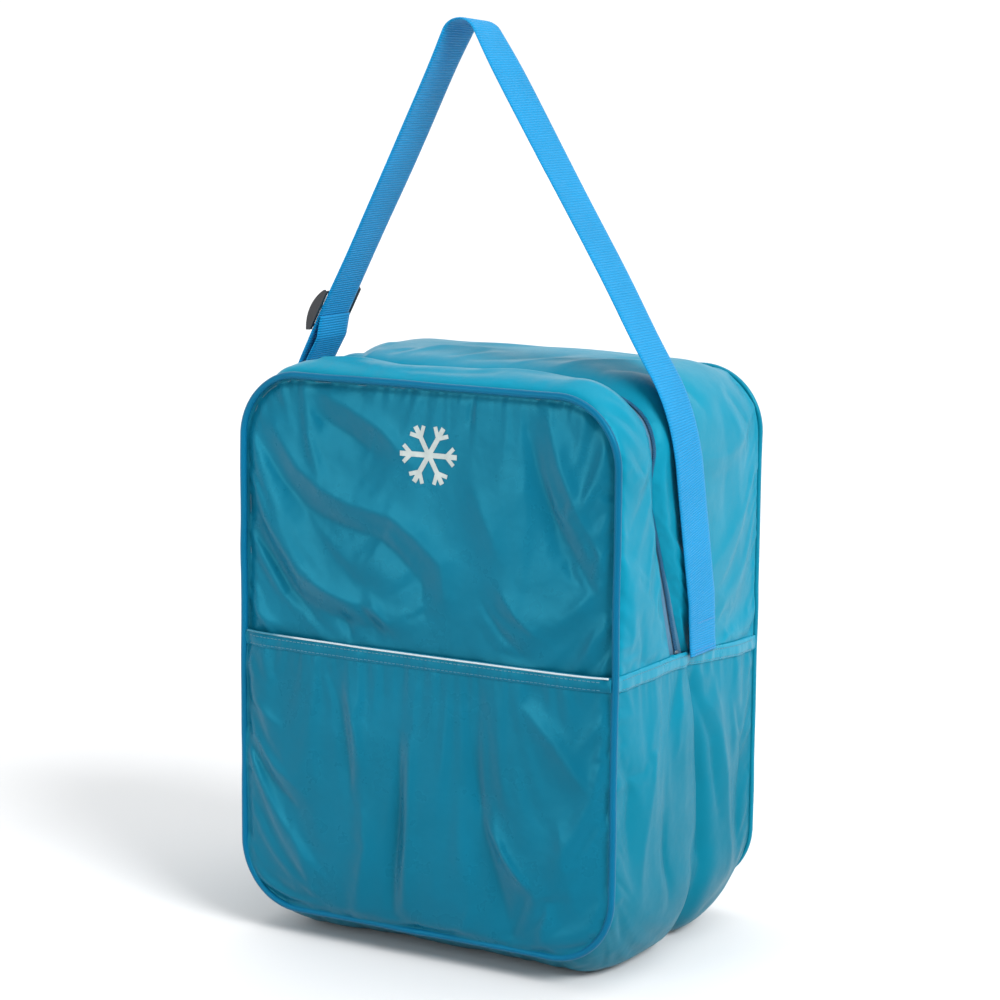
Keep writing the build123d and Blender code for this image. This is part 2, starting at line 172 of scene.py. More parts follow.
def folds(a, b, lines):
    """Height of the listed folds. A line is (width, height, points), in millimetres; minus is a valley."""
    total = np.zeros(a.shape)
    for width, height, points in lines:
        pts = np.array(points, float) * MM
        steps = np.hypot(*np.diff(pts, axis=0).T)
        length = steps.sum()
        near = np.full(a.shape, 1e9)
        along = np.zeros(a.shape)
        done = 0.0
        for p, q, step in zip(pts[:-1], pts[1:], steps):
            d = (q - p) / step
            t = np.clip((a - p[0]) * d[0] + (b - p[1]) * d[1], 0, step)
            gap = np.hypot(a - p[0] - t * d[0], b - p[1] - t * d[1])
            closer = gap < near
            near = np.where(closer, gap, near)
            along = np.where(closer, (done + t) / length, along)
            done += step
        taper = 0.25 + 0.75 * np.sin(np.pi * np.clip(along, 0.02, 0.98)) ** 0.6
        total += height * MM * taper * np.exp(-((near / (width * MM)) ** 1.35))
    return total


# --- mesh building ---


def add_object(name, data):
    obj = bpy.data.objects.new(name, data)
    bpy.context.scene.collection.objects.link(obj)
    return obj


def shade_smooth(mesh):
    mesh.polygons.foreach_set("use_smooth", [True] * len(mesh.polygons))


def new_mesh(name, points, faces):
    mesh = bpy.data.meshes.new(name)
    mesh.from_pydata([tuple(p) for p in points], [], [tuple(f) for f in faces])
    mesh.update()
    shade_smooth(mesh)
    return add_object(name, mesh)


def from_bmesh(name, bm, material):
    mesh = bpy.data.meshes.new(name)
    bm.to_mesh(mesh)
    bm.free()
    mesh.materials.clear()
    mesh.materials.append(material)
    return add_object(name, mesh)


def read_points(obj):
    co = np.zeros(len(obj.data.vertices) * 3)
    obj.data.vertices.foreach_get("co", co)
    return co.reshape(-1, 3)


def write_points(obj, co):
    obj.data.vertices.foreach_set("co", co.ravel())
    obj.data.update()


def run_length(points):
    """Distance along a line of points, from its start."""
    return np.concatenate([[0], np.cumsum(np.linalg.norm(np.diff(points, axis=0), axis=1))])


def unit(rows):
    return rows / np.linalg.norm(rows, axis=1, keepdims=True)


def lay_uv(obj, uv):
    """One UV pair, in metres, for each vertex."""
    mesh = obj.data
    layer = mesh.uv_layers.new(name="UVMap")
    loops = np.zeros(len(mesh.loops), int)
    mesh.loops.foreach_get("vertex_index", loops)
    layer.data.foreach_set("uv", uv[loops].astype(np.float32).ravel())


def row_pairs(rows, columns, close):
    """Each row of a grid's point numbers and the row after it. Close joins the last row to the first."""
    index = np.arange(rows * columns).reshape(rows, columns)
    if close:
        return index, np.roll(index, -1, axis=0)
    return index[:-1], index[1:]


def grid(name, a, b, points, flip=False, close=False):
    """A sheet of quads over a grid of points."""
    low, high = row_pairs(*a.shape, close)
    quads = np.stack([low[:, :-1], high[:, :-1], high[:, 1:], low[:, 1:]], axis=-1).reshape(-1, 4)
    if flip:
        quads = quads[:, ::-1]
    obj = new_mesh(name, points.reshape(-1, 3), quads)
    lay_uv(obj, np.stack([a.ravel(), b.ravel()], axis=1))
    return obj


def skin(name, points, along, around, close=False):
    """A surface over a row of sections, capped at its ends. Along and around are its UVs in metres."""
    low, high = row_pairs(*points.shape[:2], close)
    quads = np.stack([low, np.roll(low, -1, axis=1), np.roll(high, -1, axis=1), high], axis=-1)
    faces = [list(q) for q in quads.reshape(-1, 4)]
    if not close:
        faces += [list(low[0][::-1]), list(high[-1])]
    obj = new_mesh(name, points.reshape(-1, 3), faces)
    lay_uv(obj, np.stack(np.meshgrid(along, around, indexing="ij"), axis=-1).reshape(-1, 2))
    return obj


def tube(name, centres, across, up, section, close=False):
    """A closed section, (sideways, up) pairs, swept along centres."""
    points = centres[:, None] + across[:, None] * section[None, :, :1] + up[:, None] * section[None, :, 1:]
    return skin(name, points, run_length(centres), run_length(section), close)


SETTLE_FRAMES = 16


def settle(obj, growth, pressure, cap):
    """Lets the cloth find its own wrinkles between its sewn edges. No point moves more than cap."""
    edge_use = {}
    for polygon in obj.data.polygons:
        for key in polygon.edge_keys:
            edge_use[key] = edge_use.get(key, 0) + 1
    sewn = sorted({v for key, n in edge_use.items() if n == 1 for v in key})
    group = obj.vertex_groups.new(name="sewn")
    group.add(sewn, 1.0, "REPLACE")
    cloth = obj.modifiers.new("settle", "CLOTH")
    s = cloth.settings
    s.quality = 5
    s.mass = 0.10
    s.tension_stiffness = 12
    s.compression_stiffness = 12
    s.shear_stiffness = 4
    s.bending_stiffness = 0.25
    s.vertex_group_mass = "sewn"
    s.shrink_min = -growth
    s.shrink_max = -growth
    s.use_pressure = True
    s.uniform_pressure_force = pressure
    s.effector_weights.gravity = 0.15
    cloth.collision_settings.use_collision = False
    cloth.collision_settings.use_self_collision = False
    rest = read_points(obj)
    scene = bpy.context.scene
    for number in range(1, SETTLE_FRAMES + 1):
        scene.frame_set(number)
    move = read_points(obj.evaluated_get(bpy.context.evaluated_depsgraph_get())) - rest
    size = np.linalg.norm(move, axis=1, keepdims=True)
    move *= cap * np.tanh(size / cap) / np.maximum(size, 1e-12)
    obj.modifiers.remove(cloth)
    write_points(obj, rest + move)
    scene.frame_set(1)


def press_in(obj, distance, direction, depth, width):
    """Presses the cloth in beside its seam, which stays in place. Distance is each point's from the seam."""
    ramp = 0.0022
    groove = smooth(distance / ramp) * np.exp(-((np.maximum(distance - ramp, 0) / width) ** 2))
    write_points(obj, read_points(obj) + direction * (depth * groove)[:, None])


def apply_modifiers(obj):
    mesh = bpy.data.meshes.new_from_object(obj.evaluated_get(bpy.context.evaluated_depsgraph_get()))
    obj.modifiers.clear()
    old = obj.data
    obj.data = mesh
    mesh.name = obj.name
    bpy.data.meshes.remove(old)
    shade_smooth(mesh)
    return obj


def finish_cloth(obj, outer, inner=None, thickness=CLOTH_T):
    """Smooths the sheet, gives it thickness inwards, and makes the mesh final."""
    obj.data.materials.append(outer)
    obj.data.materials.append(inner or outer)
    fine = obj.modifiers.new("fine", "SUBSURF")
    fine.levels = 1
    fine.render_levels = 1
    solid = obj.modifiers.new("solid", "SOLIDIFY")
    solid.thickness = thickness
    solid.offset = -1
    solid.material_offset = 1
    return apply_modifiers(obj)


def thicken(obj, thickness, material):
    """Makes a tape out of a sheet."""
    solid = obj.modifiers.new("solid", "SOLIDIFY")
    solid.thickness = thickness
    obj.data.materials.append(material)
    return apply_modifiers(obj)


def surface_tree(*objs):
    """A search tree over finished meshes, so that stitches and prints lie on the cloth."""
    points, faces = [], []
    for obj in objs:
        start = len(points)
        points.extend(v.co.copy() for v in obj.data.vertices)
        faces.extend([start + i for i in p.vertices] for p in obj.data.polygons)
    return BVHTree.FromPolygons(points, faces)


def drop(tree, origin, direction, lift):
    """The point where a ray meets the cloth, lifted off it along the cloth's normal, and that normal."""
    hit, normal, _, _ = tree.ray_cast(Vector(origin), Vector(direction))
    if hit is None:
        return None, None
    if normal.dot(Vector(direction)) > 0:
        normal = -normal
    return hit + normal * lift, normal


def capsules(name, places, length, radius, material):
    """Small round-ended threads; a place is (centre, direction, normal)."""
    segments = 6
    rings = [(-0.5, 0.0), (-0.46, 0.6), (-0.36, 1.0), (0.36, 1.0), (0.46, 0.6), (0.5, 0.0)]
    points, faces = [], []
    for centre, direction, normal in places:
        along = direction.normalized()
        across = along.cross(normal).normalized()
        up = across.cross(along)
        start = len(points)
        for reach, fat in rings:
            if fat == 0.0:
                points.append(centre + along * (reach * length))
                continue
            for k in range(segments):
                turn = 2 * math.pi * k / segments
                off = across * (math.cos(turn) * radius * fat) + up * (math.sin(turn) * radius * fat)
                points.append(centre + along * (reach * length) + off)
        last = start + 1 + 4 * segments
        for k in range(segments):
            n = (k + 1) % segments
            faces.append((start, start + 1 + n, start + 1 + k))
            faces.append((last, last - segments + k, last - segments + n))
            for ring in range(3):
                low = start + 1 + ring * segments
                faces.append((low + k, low + n, low + segments + n, low + segments + k))
    obj = new_mesh(name, points, faces)
    obj.data.materials.append(material)
    return obj


def stitch_row(tree, starts, direction, pitch):
    """Places of stitches along a line of ray origins, sunk a little into the cloth."""
    line = np.asarray(starts, float)
    along = run_length(line)
    places = []
    for k in range(int(along[-1] / pitch)):
        ends = []
        for share in (0.15, 0.85):
            at = (k + share) * pitch
            origin = [np.interp(at, along, line[:, i]) for i in range(3)]
            ends.append(drop(tree, origin, direction, THREAD_LIFT))
        (first, normal), (last, _) = ends
        if first is None or last is None:
            continue
        if (last - first).length < pitch:
            places.append(((first + last) / 2 - normal * 0.00012, last - first, normal))
    return places


# --- materials ---


class Nodes:
    """A short way to write a shader. A socket takes a number, a colour or a (node, output) pair."""

    def __init__(self, owner, shader="Principled BSDF"):
        owner.use_nodes = True
        self.owner = owner
        self.tree = owner.node_tree
        self.shader = self.tree.nodes[shader]

    def put(self, node, socket, value):
        if not isinstance(value, tuple):
            node.inputs[socket].default_value = value
        elif isinstance(value[0], bpy.types.Node):
            self.tree.links.new(value[0].outputs[value[1]], node.inputs[socket])
        else:
            node.inputs[socket].default_value = (*value, 1.0)

    def add(self, kind, **values):
        node = self.tree.nodes.new("ShaderNode" + kind)
        for key, value in values.items():
            if hasattr(node, key) and key not in node.inputs:
                setattr(node, key, value)
            else:
                self.put(node, key, value)
        return node

    def set(self, **values):
        for key, value in values.items():
            self.put(self.shader, key.replace("_", " "), value)

    def math(self, operation, first, second):
        node = self.add("Math", operation=operation)
        self.put(node, 0, first)
        self.put(node, 1, second)
        return node, "Value"

    def noise(self, place, scale, detail=3.0, rough=0.5):
        return self.add("TexNoise", Vector=place, Scale=scale, Detail=detail, Roughness=rough), "Fac"

    def bands(self, place, axis, pitch):
        scale = 2 * math.pi / (20 * pitch)
        return self.add("TexWave", bands_direction=axis, Vector=place, Scale=scale), "Fac"

    def mix(self, factor, first, second):
        node = self.add("Mix", data_type="RGBA", Factor=factor)
        self.put(node, 6, first)
        self.put(node, 7, second)
        return node, 2

    def tones(self, source, colour, dark, pale):
        """Shades of one colour, from dark to pale as the source goes from low to high."""
        return self.mix(self.spread(source, 0.3, 0.7, 0.0, 1.0), shade(colour, dark), shade(colour, pale))

    def spread(self, source, low, high, to_low, to_high):
        node = self.add("MapRange", Value=source)
        for socket, value in (("From Min", low), ("From Max", high), ("To Min", to_low), ("To Max", to_high)):
            self.put(node, socket, value)
        return node, "Result"

    def bump(self, height, distance, strength=1.0, under=None):
        node = self.add("Bump", Height=height, Distance=distance, Strength=strength)
        if under is not None:
            self.put(node, "Normal", under)
        return node, "Normal"

    def finish(self, colour, rough, normal):
        self.set(Base_Color=colour, Roughness=rough, Normal=normal)
        return self.owner


def new_material(name):
    return Nodes(bpy.data.materials.new(name))


def lighter(colour, factor, more):
    return tuple(min(1.0, c * factor + more) for c in colour)


def shade(colour, factor):
    return tuple(c * factor for c in colour)


WEAVE = 0.00036
WEB_RIB = 0.0019
WEB_YARN = 0.00125


def coated_fabric(name, colour, rough=(0.25, 0.34), sheen=0.03, crinkle=0.00045, gloss=0.36, shade_to_floor=0.0):
    """Shiny coated polyester: fine plain weave, a soft crinkle, a painted highlight on the fold ridges and
    painted shade in the creases.
    """
    m = new_material(name)
    uv = (m.add("TexCoord"), "UV")
    place = (uv[0], "Object")
    warp = m.bands(uv, "X", WEAVE)
    weft = m.bands(uv, "Y", WEAVE)
    weave = m.math("MULTIPLY", warp, weft)
    broad = m.noise(place, 11.0, 3.0, 0.55)
    base = m.tones(broad, colour, 0.90, 1.08)
    yarn = m.noise(uv, 1400.0, 2.0, 0.6)
    speckle = m.spread(yarn, 0.35, 0.65, 0.0, 0.09)
    base = m.mix(speckle, base, shade(colour, 0.70))
    gap = m.spread(weave, 0.0, 0.5, 0.12, 0.0)
    base = m.mix(gap, base, shade(colour, 0.55))
    relief = m.add("NewGeometry")
    # Painted highlight: the ridges of the folds are made lighter
    painted_ridge_highlight = m.spread((relief, "Pointiness"), 0.505, 0.56, 0.0, 0.35)
    base = m.mix(painted_ridge_highlight, base, shade(colour, 1.40))
    # Painted shade: the creases between the folds are made darker
    painted_crease_shade = m.spread((relief, "Pointiness"), 0.43, 0.496, 0.55, 0.0)
    base = m.mix(painted_crease_shade, base, shade(colour, 0.45))
    if shade_to_floor:
        # Painted shade: the colour darkens towards the floor
        split = m.add("SeparateXYZ", Vector=place)
        painted_floor_shade = m.spread((split, "Z"), 0.02, 0.21, shade_to_floor, 0.0)
        base = m.mix(painted_floor_shade, base, shade(colour, 0.45))
    wear = m.noise(place, 38.0, 4.0, 0.6)
    roughness = m.spread(wear, 0.3, 0.7, *rough)
    soft = m.noise(place, 55.0, 2.0, 0.5)
    large = m.bump(soft, crinkle * 4, 0.35)
    fine = m.bump(weave, 0.00003, 0.4, large)
    m.set(Sheen_Weight=sheen, Sheen_Roughness=0.45, Sheen_Tint=(0.25, 0.75, 0.9))
    m.set(Specular_IOR_Level=gloss, Specular_Tint=(0.12, 0.82, 1.0))
    return m.finish(base, roughness, fine)


def webbing(name, colour):
    """Ribbed webbing: ribs across, fine yarns along, and pale fibre specks."""
    m = new_material(name)
    uv = (m.add("TexCoord"), "UV")
    ribs = m.bands(uv, "X", WEB_RIB)
    yarns = m.bands(uv, "Y", WEB_YARN)
    cross = m.math("MULTIPLY", ribs, yarns)
    height = m.math("ADD", ribs, cross)
    fibre = m.noise(uv, 2200.0, 3.0, 0.7)
    broad = m.noise((uv[0], "Object"), 24.0, 3.0, 0.5)
    base = m.tones(broad, colour, 0.92, 1.06)
    # Painted shade in the grooves between the ribs
    groove = m.spread(height, 0.0, 1.2, 0.50, 0.0)
    base = m.mix(groove, base, shade(colour, 0.55))
    speck = m.spread(fibre, 0.4, 0.7, 0.0, 0.35)
    base = m.mix(speck, base, lighter(colour, 1.2, 0.02))
    roughness = m.spread(fibre, 0.3, 0.7, 0.48, 0.64)
    low = m.bump(height, 0.00028, 0.7)
    top = m.bump(fibre, 0.00006, 0.5, low)
    m.set(Sheen_Weight=0.20, Sheen_Roughness=0.4, Sheen_Tint=(0.2, 0.6, 1.0))
    m.set(Specular_IOR_Level=0.3, Specular_Tint=(0.3, 0.7, 1.0))
    return m.finish(base, roughness, top)


def woven_tape(name, colour, pitch=0.0009):
    """Woven polyester tape: a chevron of fine ribs."""
    m = new_material(name)
    uv = (m.add("TexCoord"), "UV")
    slant = m.bands(uv, "DIAGONAL", pitch)
    ribs = m.bands(uv, "Y", pitch * 2)
    height = m.math("ADD", slant, ribs)
    dust = m.noise((uv[0], "Object"), 90.0, 4.0, 0.6)
    tone = m.spread(height, 0.2, 1.6, 0.0, 1.0)
    base = m.mix(tone, shade(colour, 0.7), shade(colour, 1.12))
    veil = m.spread(dust, 0.45, 0.75, 0.0, 0.18)
    base = m.mix(veil, base, lighter(colour, 1.0, 0.08))
    roughness = m.spread(dust, 0.3, 0.7, 0.55, 0.72)
    low = m.bump(height, 0.00012, 0.6)
    m.set(Sheen_Weight=0.3, Sheen_Roughness=0.5)
    return m.finish(base, roughness, low)


def moulded(name, colour, rough=(0.32, 0.46), metallic=0.0, grain=0.00004):
    """Moulded plastic, nylon or cast metal with fine grain and rubbed edges."""
    m = new_material(name)
    place = (m.add("TexCoord"), "Object")
    fine = m.noise(place, 1600.0, 3.0, 0.6)
    broad = m.noise(place, 120.0, 4.0, 0.6)
    base = m.tones(broad, colour, 0.85, 1.12)
    edge = m.spread((m.add("NewGeometry"), "Pointiness"), 0.52, 0.60, 0.0, 0.4)
    base = m.mix(edge, base, lighter(colour, 1.4, 0.03))
    roughness = m.spread(broad, 0.3, 0.7, *rough)
    low = m.bump(fine, grain, 0.6)
    m.set(Metallic=metallic, Specular_IOR_Level=0.5 if metallic else 0.28)
    return m.finish(base, roughness, low)


# The front and the sides are one fabric: the sides' copy of its teal is painted lighter and the front's darker,
# as painted light and painted shade
TEAL = (0.002, 0.105, 0.178)
LIT_SIDE_TEAL = (0.003, 0.208, 0.318)
PIPE_TEAL = (0.001, 0.112, 0.232)
WEB_BLUE = (0.002, 0.225, 0.480)

front_fabric = coated_fabric("coated_front_fabric", TEAL)
side_fabric = coated_fabric("coated_side_fabric", LIT_SIDE_TEAL, rough=(0.32, 0.44), gloss=0.22)
# The lower shell's teal is a darker copy of the sides' teal: painted shade, with more painted shade towards the
# floor
shell_fabric = coated_fabric(
    "coated_shell_fabric", shade(LIT_SIDE_TEAL, 0.86), rough=(0.34, 0.46), gloss=0.15, shade_to_floor=0.65
)
hem_fabric = coated_fabric("coated_hem_fabric", shade(TEAL, 1.02), crinkle=0.0002)
piping_fabric = coated_fabric("piping_fabric", PIPE_TEAL, rough=(0.34, 0.46), crinkle=0.00012)
rear_piping_fabric = coated_fabric("rear_piping_fabric", LIT_SIDE_TEAL, crinkle=0.00012)
lining = coated_fabric("lining_fabric", (0.012, 0.060, 0.090), rough=(0.55, 0.7), sheen=0.1)
band_fabric = coated_fabric("seam_band_fabric", shade(LIT_SIDE_TEAL, 1.03), crinkle=0.0003)
binding_tape = woven_tape("binding_tape", (0.015, 0.14, 0.22))
zip_tape = woven_tape("zip_tape", (0.008, 0.115, 0.220))
blue_webbing = webbing("blue_webbing", WEB_BLUE)
coil_nylon = moulded("coil_nylon", (0.008, 0.070, 0.150), rough=(0.3, 0.42))
black_plastic = moulded("black_plastic", (0.012, 0.013, 0.016))
nickel = moulded("nickel", (0.55, 0.56, 0.58), rough=(0.2, 0.34), metallic=1.0)
teal_thread = woven_tape("teal_thread", (0.030, 0.20, 0.30), pitch=0.0004)
blue_thread = woven_tape("blue_thread", (0.012, 0.25, 0.60), pitch=0.0004)
pale_print = moulded("pale_print", (0.38, 0.43, 0.42), rough=(0.5, 0.65), grain=0.00002)


def reflective_cord():
    """Grey glass-bead film over a cord. Towards its left end it fades into dull teal."""
    m = new_material("reflective_film")
    place = (m.add("TexCoord"), "Object")
    beads = m.noise(place, 2600.0, 2.0, 0.6)
    split = m.add("SeparateXYZ", Vector=place)
    dull_end_noise = m.noise(place, 60.0, 3.0, 0.6)
    wander = m.math("MULTIPLY", dull_end_noise, 0.03)
    reach = m.math("ADD", (split, "X"), wander)
    bright = m.spread(reach, -0.105, -0.085, 0.0, 1.0)
    film = m.mix(beads, (0.34, 0.41, 0.45), (0.50, 0.56, 0.59))
    base = m.mix(bright, (0.025, 0.16, 0.23), film)
    roughness = m.spread(beads, 0.3, 0.7, 0.30, 0.42)
    low = m.bump(beads, 0.00003, 0.5)
    return m.finish(base, roughness, low)


reflective = reflective_cord()


def stands_for(obj, slot, *nodes):
    if nodes:
        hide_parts(*nodes)
    return obj


def on_bag(obj, slot, *nodes):
    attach(stands_for(obj, slot, *nodes), "bag")


# --- front, pocket and rear panels ---


def rounded_plate(z_low, z_high, step, round_top=True):
    """Grid points of a plate with the outline's rounded corners, inside the piping."""
    half = HALF_X - TUCK
    radius = CORNER_R - TUCK
    x = np.linspace(-half, half, int(2 * half / step) + 1)
    z = np.linspace(z_low, z_high, int((z_high - z_low) / step) + 1)
    x, z = np.meshgrid(x, z, indexing="ij")
    cx = half - radius
    a = np.clip(np.abs(x) - cx, 0, radius)
    below = np.clip((z_low + radius) - z, 0, radius)
    above = np.clip(z - (z_high - radius), 0, radius) if round_top else np.zeros(z.shape)
    b = below + above
    squeeze_a = a * np.sqrt(1 - b**2 / (2 * radius**2))
    squeeze_b = b * np.sqrt(1 - a**2 / (2 * radius**2))
    px = np.where(a > 0, np.sign(x) * (cx + squeeze_a), x)
    pz = np.where(below > 0, z_low + radius - squeeze_b, z)
    pz = np.where(above > 0, z_high - radius + squeeze_b, pz)
    return px, pz


def pucker(s, t, reach, depth, pitch, seed):
    """Small gathers that start at a seam and die away from it."""
    crest = wave(s, pitch, seed) - 0.35
    length = reach * (0.5 + 1.2 * wave(s, pitch * 2.3, seed + 1))
    return depth * crest * np.exp(-t / length) * smooth(t / 0.004)


PANEL_FOLDS = [
    (
        10,
        -5.5,
        [(-133, 352), (-114, 328), (-92, 313), (-65, 304), (-35, 298), (-17, 286), (0, 270), (2, 250)],
    ),
    (
        9,
        4.5,
        [(-123, 366), (-104, 342), (-83, 329), (-56, 320), (-25, 314), (-4, 301), (16, 284), (19, 262)],
    ),
    (8, -3.5, [(-96, 382), (-70, 371), (-43, 358)]),
    (8, 3.5, [(-87, 397), (-62, 387), (-35, 374), (-10, 352)]),
    (9, -5.0, [(-149, 298), (-128, 276), (-110, 254), (-87, 243), (-59, 236), (-25, 232)]),
    (9, 4.0, [(-139, 312), (-118, 290), (-100, 268), (-77, 258), (-50, 251), (-18, 246)]),
    (10, -5.5, [(80, 379), (89, 352), (102, 324), (119, 296), (134, 274)]),
    (9, 4.5, [(97, 387), (106, 360), (119, 332), (136, 304), (148, 283)]),
    (8, -3.6, [(50, 259), (63, 242), (80, 229)]),
    (8, 3.0, [(62, 272), (75, 256), (92, 243)]),
    (4, -1.8, [(-50, 252), (-41, 240), (-32, 232)]),
    (4, 1.6, [(-42, 257), (-34, 246), (-24, 237)]),
    (4, -1.8, [(-66, 240), (-56, 226)]),
    (4, -2.2, [(146, 250), (138, 226)]),
    (5, 2.2, [(134, 254), (128, 228)]),
    (3.5, -1.5, [(38, 403), (35, 380)]),
    (14, 3.0, [(40, 340), (66, 286)]),
    (5, 2.0, [(-145, 236), (-118, 225)]),
]
POCKET_FOLDS = [
    (7, -4.4, [(-15, 160), (-15, 113), (-19, 73), (-21, 33)]),
    (6, 3.2, [(-5, 158), (-5, 113), (-8, 73), (-10, 40)]),
    (7, -3.4, [(-74, 198), (-63, 173), (-56, 142), (-55, 118)]),
    (6, 2.6, [(-60, 190), (-50, 160), (-44, 130)]),
    (7, 3.6, [(-44, 108), (-41, 78), (-50, 31)]),
    (12, -6.5, [(38, 190), (44, 150), (54, 106), (74, 34)]),
    (7, 4.6, [(53, 116), (71, 90), (94, 64)]),
    (11, 4.2, [(80, 196), (108, 172), (136, 138)]),
    (9, 3.0, [(112, 120), (122, 62)]),
    (5, 2.4, [(-144, 150), (-121, 127), (-93, 109)]),
    (5, -2.2, [(-146, 140), (-124, 116), (-98, 98)]),
    (4, 1.6, [(-144, 172), (-115, 156)]),
    (4, -1.8, [(92, 72), (72, 26)]),
    (4, 1.4, [(44, 48), (33, 26)]),
    (6, 1.8, [(-105, 90), (-88, 38)]),
    (4, 2.0, [(104, 58), (98, 30)]),
]

STEP = 0.0025
PANEL_Y = (panel_low.y + panel_high.y) / 2
POCKET_Y = -0.1112
REAR_Y = REAR_PIPING_Y - 0.0006


def plate_points(x, z, y):
    return np.stack([x, np.full(x.shape, y), z], axis=-1)


def sewn_edge(t):
    """0 beside the seam and 1 a little inside it, so that folds don't cut through the piping."""
    return smooth((t - INSET) / 0.008)


x, z = rounded_plate(BOTTOM_Z + TUCK, TOP_Z - TUCK, STEP)
s, t = edge_place(x, z)
dome = 0.0045 * (1 - np.exp(-t / 0.030)) * (0.2 + 0.8 * smooth((z - HINGE_Z + 0.03) / 0.03))
rise = folds(x, z, PANEL_FOLDS) * sewn_edge(t) * smooth((z - HINGE_Z + 0.004) / 0.012)
rise += pucker(s, t, 0.0055, 0.0026, 0.0085, 11)
points = plate_points(x, z, PANEL_Y)
rise += 0.0016 * ripple(points, 0.055, 3) * smooth(t / 0.02)
points[..., 1] -= dome + rise * np.where(z > HINGE_Z - 0.004, 1.0, 0.2)
# Behind the pocket the panel keeps clear of it
points[..., 1] += 0.0022 * smooth((HINGE_Z - z) / 0.02) * smooth((t - TUCK) / 0.004)
front_panel = grid("front_panel_cloth", x, z, points)
settle(front_panel, 0.012, 0.03, 0.0018)
press_in(front_panel, t.ravel() - TUCK, TO_REAR, 0.0024, 0.0035)
finish_cloth(front_panel, front_fabric, lining)
stands_for(front_panel, "front_fabric", "upper_front_panel", "lower_front_panel")

HEM_DEPTH = 0.011
x, z = rounded_plate(BOTTOM_Z + TUCK, HINGE_Z - 0.0004, STEP, round_top=False)
s, t = edge_place(x, z)
mouth = HINGE_Z - z
dome = 0.0072 * (1 - np.exp(-t / 0.026)) * (0.62 + 0.38 * smooth(mouth / 0.07))
rise = folds(x, z, POCKET_FOLDS) * sewn_edge(t) * smooth((mouth - 0.010) / 0.012)
rise += pucker(s, t, 0.009, 0.0024, 0.0090, 31)
rise += pucker(x, np.maximum(mouth - HEM_DEPTH, 0), 0.005, 0.0014, 0.0080, 41) * smooth((t - 0.004) / 0.01)
points = plate_points(x, z, POCKET_Y)
rise += 0.0016 * ripple(points, 0.05, 8) * smooth(t / 0.02) * smooth((mouth - 0.006) / 0.02)
stitch_line = 0.0006 * np.exp(-(((mouth - HEM_DEPTH) / 0.0015) ** 2))
points[..., 1] -= dome + rise - stitch_line
pocket = grid("pocket_cloth", x, z, points)
settle(pocket, 0.012, 0.03, 0.0018)
press_in(pocket, t.ravel() - TUCK, TO_REAR, 0.0017, 0.0035)
finish_cloth(pocket, front_fabric, lining)
on_bag(pocket, "front_fabric", "front_pocket_panel")

x, z = rounded_plate(BOTTOM_Z + TUCK, TOP_Z - TUCK, 0.003)
s, t = edge_place(x, z)
points = plate_points(x, z, REAR_Y)
rise = 0.006 * (1 - np.exp(-t / 0.035)) + pucker(s, t, 0.014, 0.0022, 0.009, 51)
rise += 0.0020 * ripple(points, 0.07, 5) * smooth(t / 0.02)
REAR_FOLDS = [
    (8, -3.5, [(-110, 330), (-40, 290), (30, 300)]),
    (8, 3.0, [(-90, 250), (-20, 215)]),
    (9, -3.2, [(60, 240), (110, 160)]),
    (7, 2.6, [(-120, 150), (-70, 90)]),
    (7, -2.4, [(-10, 150), (20, 70)]),
    (6, 2.2, [(70, 110), (95, 50)]),
]
rise += folds(x, z, REAR_FOLDS) * sewn_edge(t)
points[..., 1] += rise
rear_panel = grid("rear_panel_cloth", x, z, points, flip=True)
settle(rear_panel, 0.012, 0.03, 0.0020)
finish_cloth(rear_panel, side_fabric, lining)
on_bag(rear_panel, "side_fabric", "rear_panel")

# --- gusset: two strips beside the zip, and the lower shell ---


def seam_z(y):
    """The cross seam's height, which drops towards the rear."""
    return HINGE_Z - 0.0015 - 0.009 * smooth((y + 0.04) / 0.15)


def zip_line(s):
    """(y of the zip's middle, half the gap between its lips, depth of the tape)."""
    places = [
        (-side_s(0.20), -0.0480, 0.0063, 0.0027),
        (-S_SIDE, -0.0480, 0.0062, 0.0027),
        (-S_CORNER, -0.0480, 0.0050, 0.0040),
        (-0.055, -0.0480, 0.0014, 0.0068),
        (S_CORNER - 0.01, -0.0480, 0.0024, 0.0054),
        (S_SIDE - 0.03, -0.0500, 0.0036, 0.0032),
        (side_s(0.362), -0.0540, 0.0032, 0.0030),
        (side_s(0.345), -0.0555, 0.0008, 0.0050),
        (side_s(0.326), -0.0530, 0.0010, 0.0056),
        (side_s(0.300), -0.0430, 0.0032, 0.0046),
        (side_s(0.262), -0.0295, 0.0064, 0.0038),
        (side_s(0.217), -0.0135, 0.0104, 0.0032),
        (side_s(0.19), -0.0060, 0.0110, 0.0032),
    ]
    table = np.array(places)
    return tuple(np.interp(s, table[:, 0], table[:, k]) for k in (1, 2, 3))


def top_share(s):
    """1 on the top, 0 on the sides."""
    return 1 - smooth((np.abs(s) - S_CORNER + 0.005) / (S_SIDE - S_CORNER + 0.012))


def above_seam(s, y):
    return side_s(seam_z(y)) - np.abs(s)


def on_gusset(s, y, lift):
    x, z, nx, nz = outline(s)
    return np.stack([x + nx * lift, y, z + nz * lift], axis=-1)


def lip_arch(v, width, crown, drop_to, peak, roll):
    """Height across a strip: up from the seam at v 0, over its crown, and into the zip's groove at v 1."""
    up = crown * (1 - (1 - np.clip(v / peak, 0, 1)) ** 2.4)
    past = crown * (1 - 0.22 * np.clip((v - peak) / (1 - peak), 0, 1) ** 2)
    into = np.clip(1 - (1 - v) * width / roll, 0, 1) ** 2.2
    return np.where(v < peak, up, past - (0.78 * crown + drop_to) * into)


def on_right(lines):
    """Folds given as (y, z) points on the right side, in millimetres, turned into (s, y) points."""
    return [(width, height, [(side_s(z * MM) / MM, y) for y, z in points]) for width, height, points in lines]


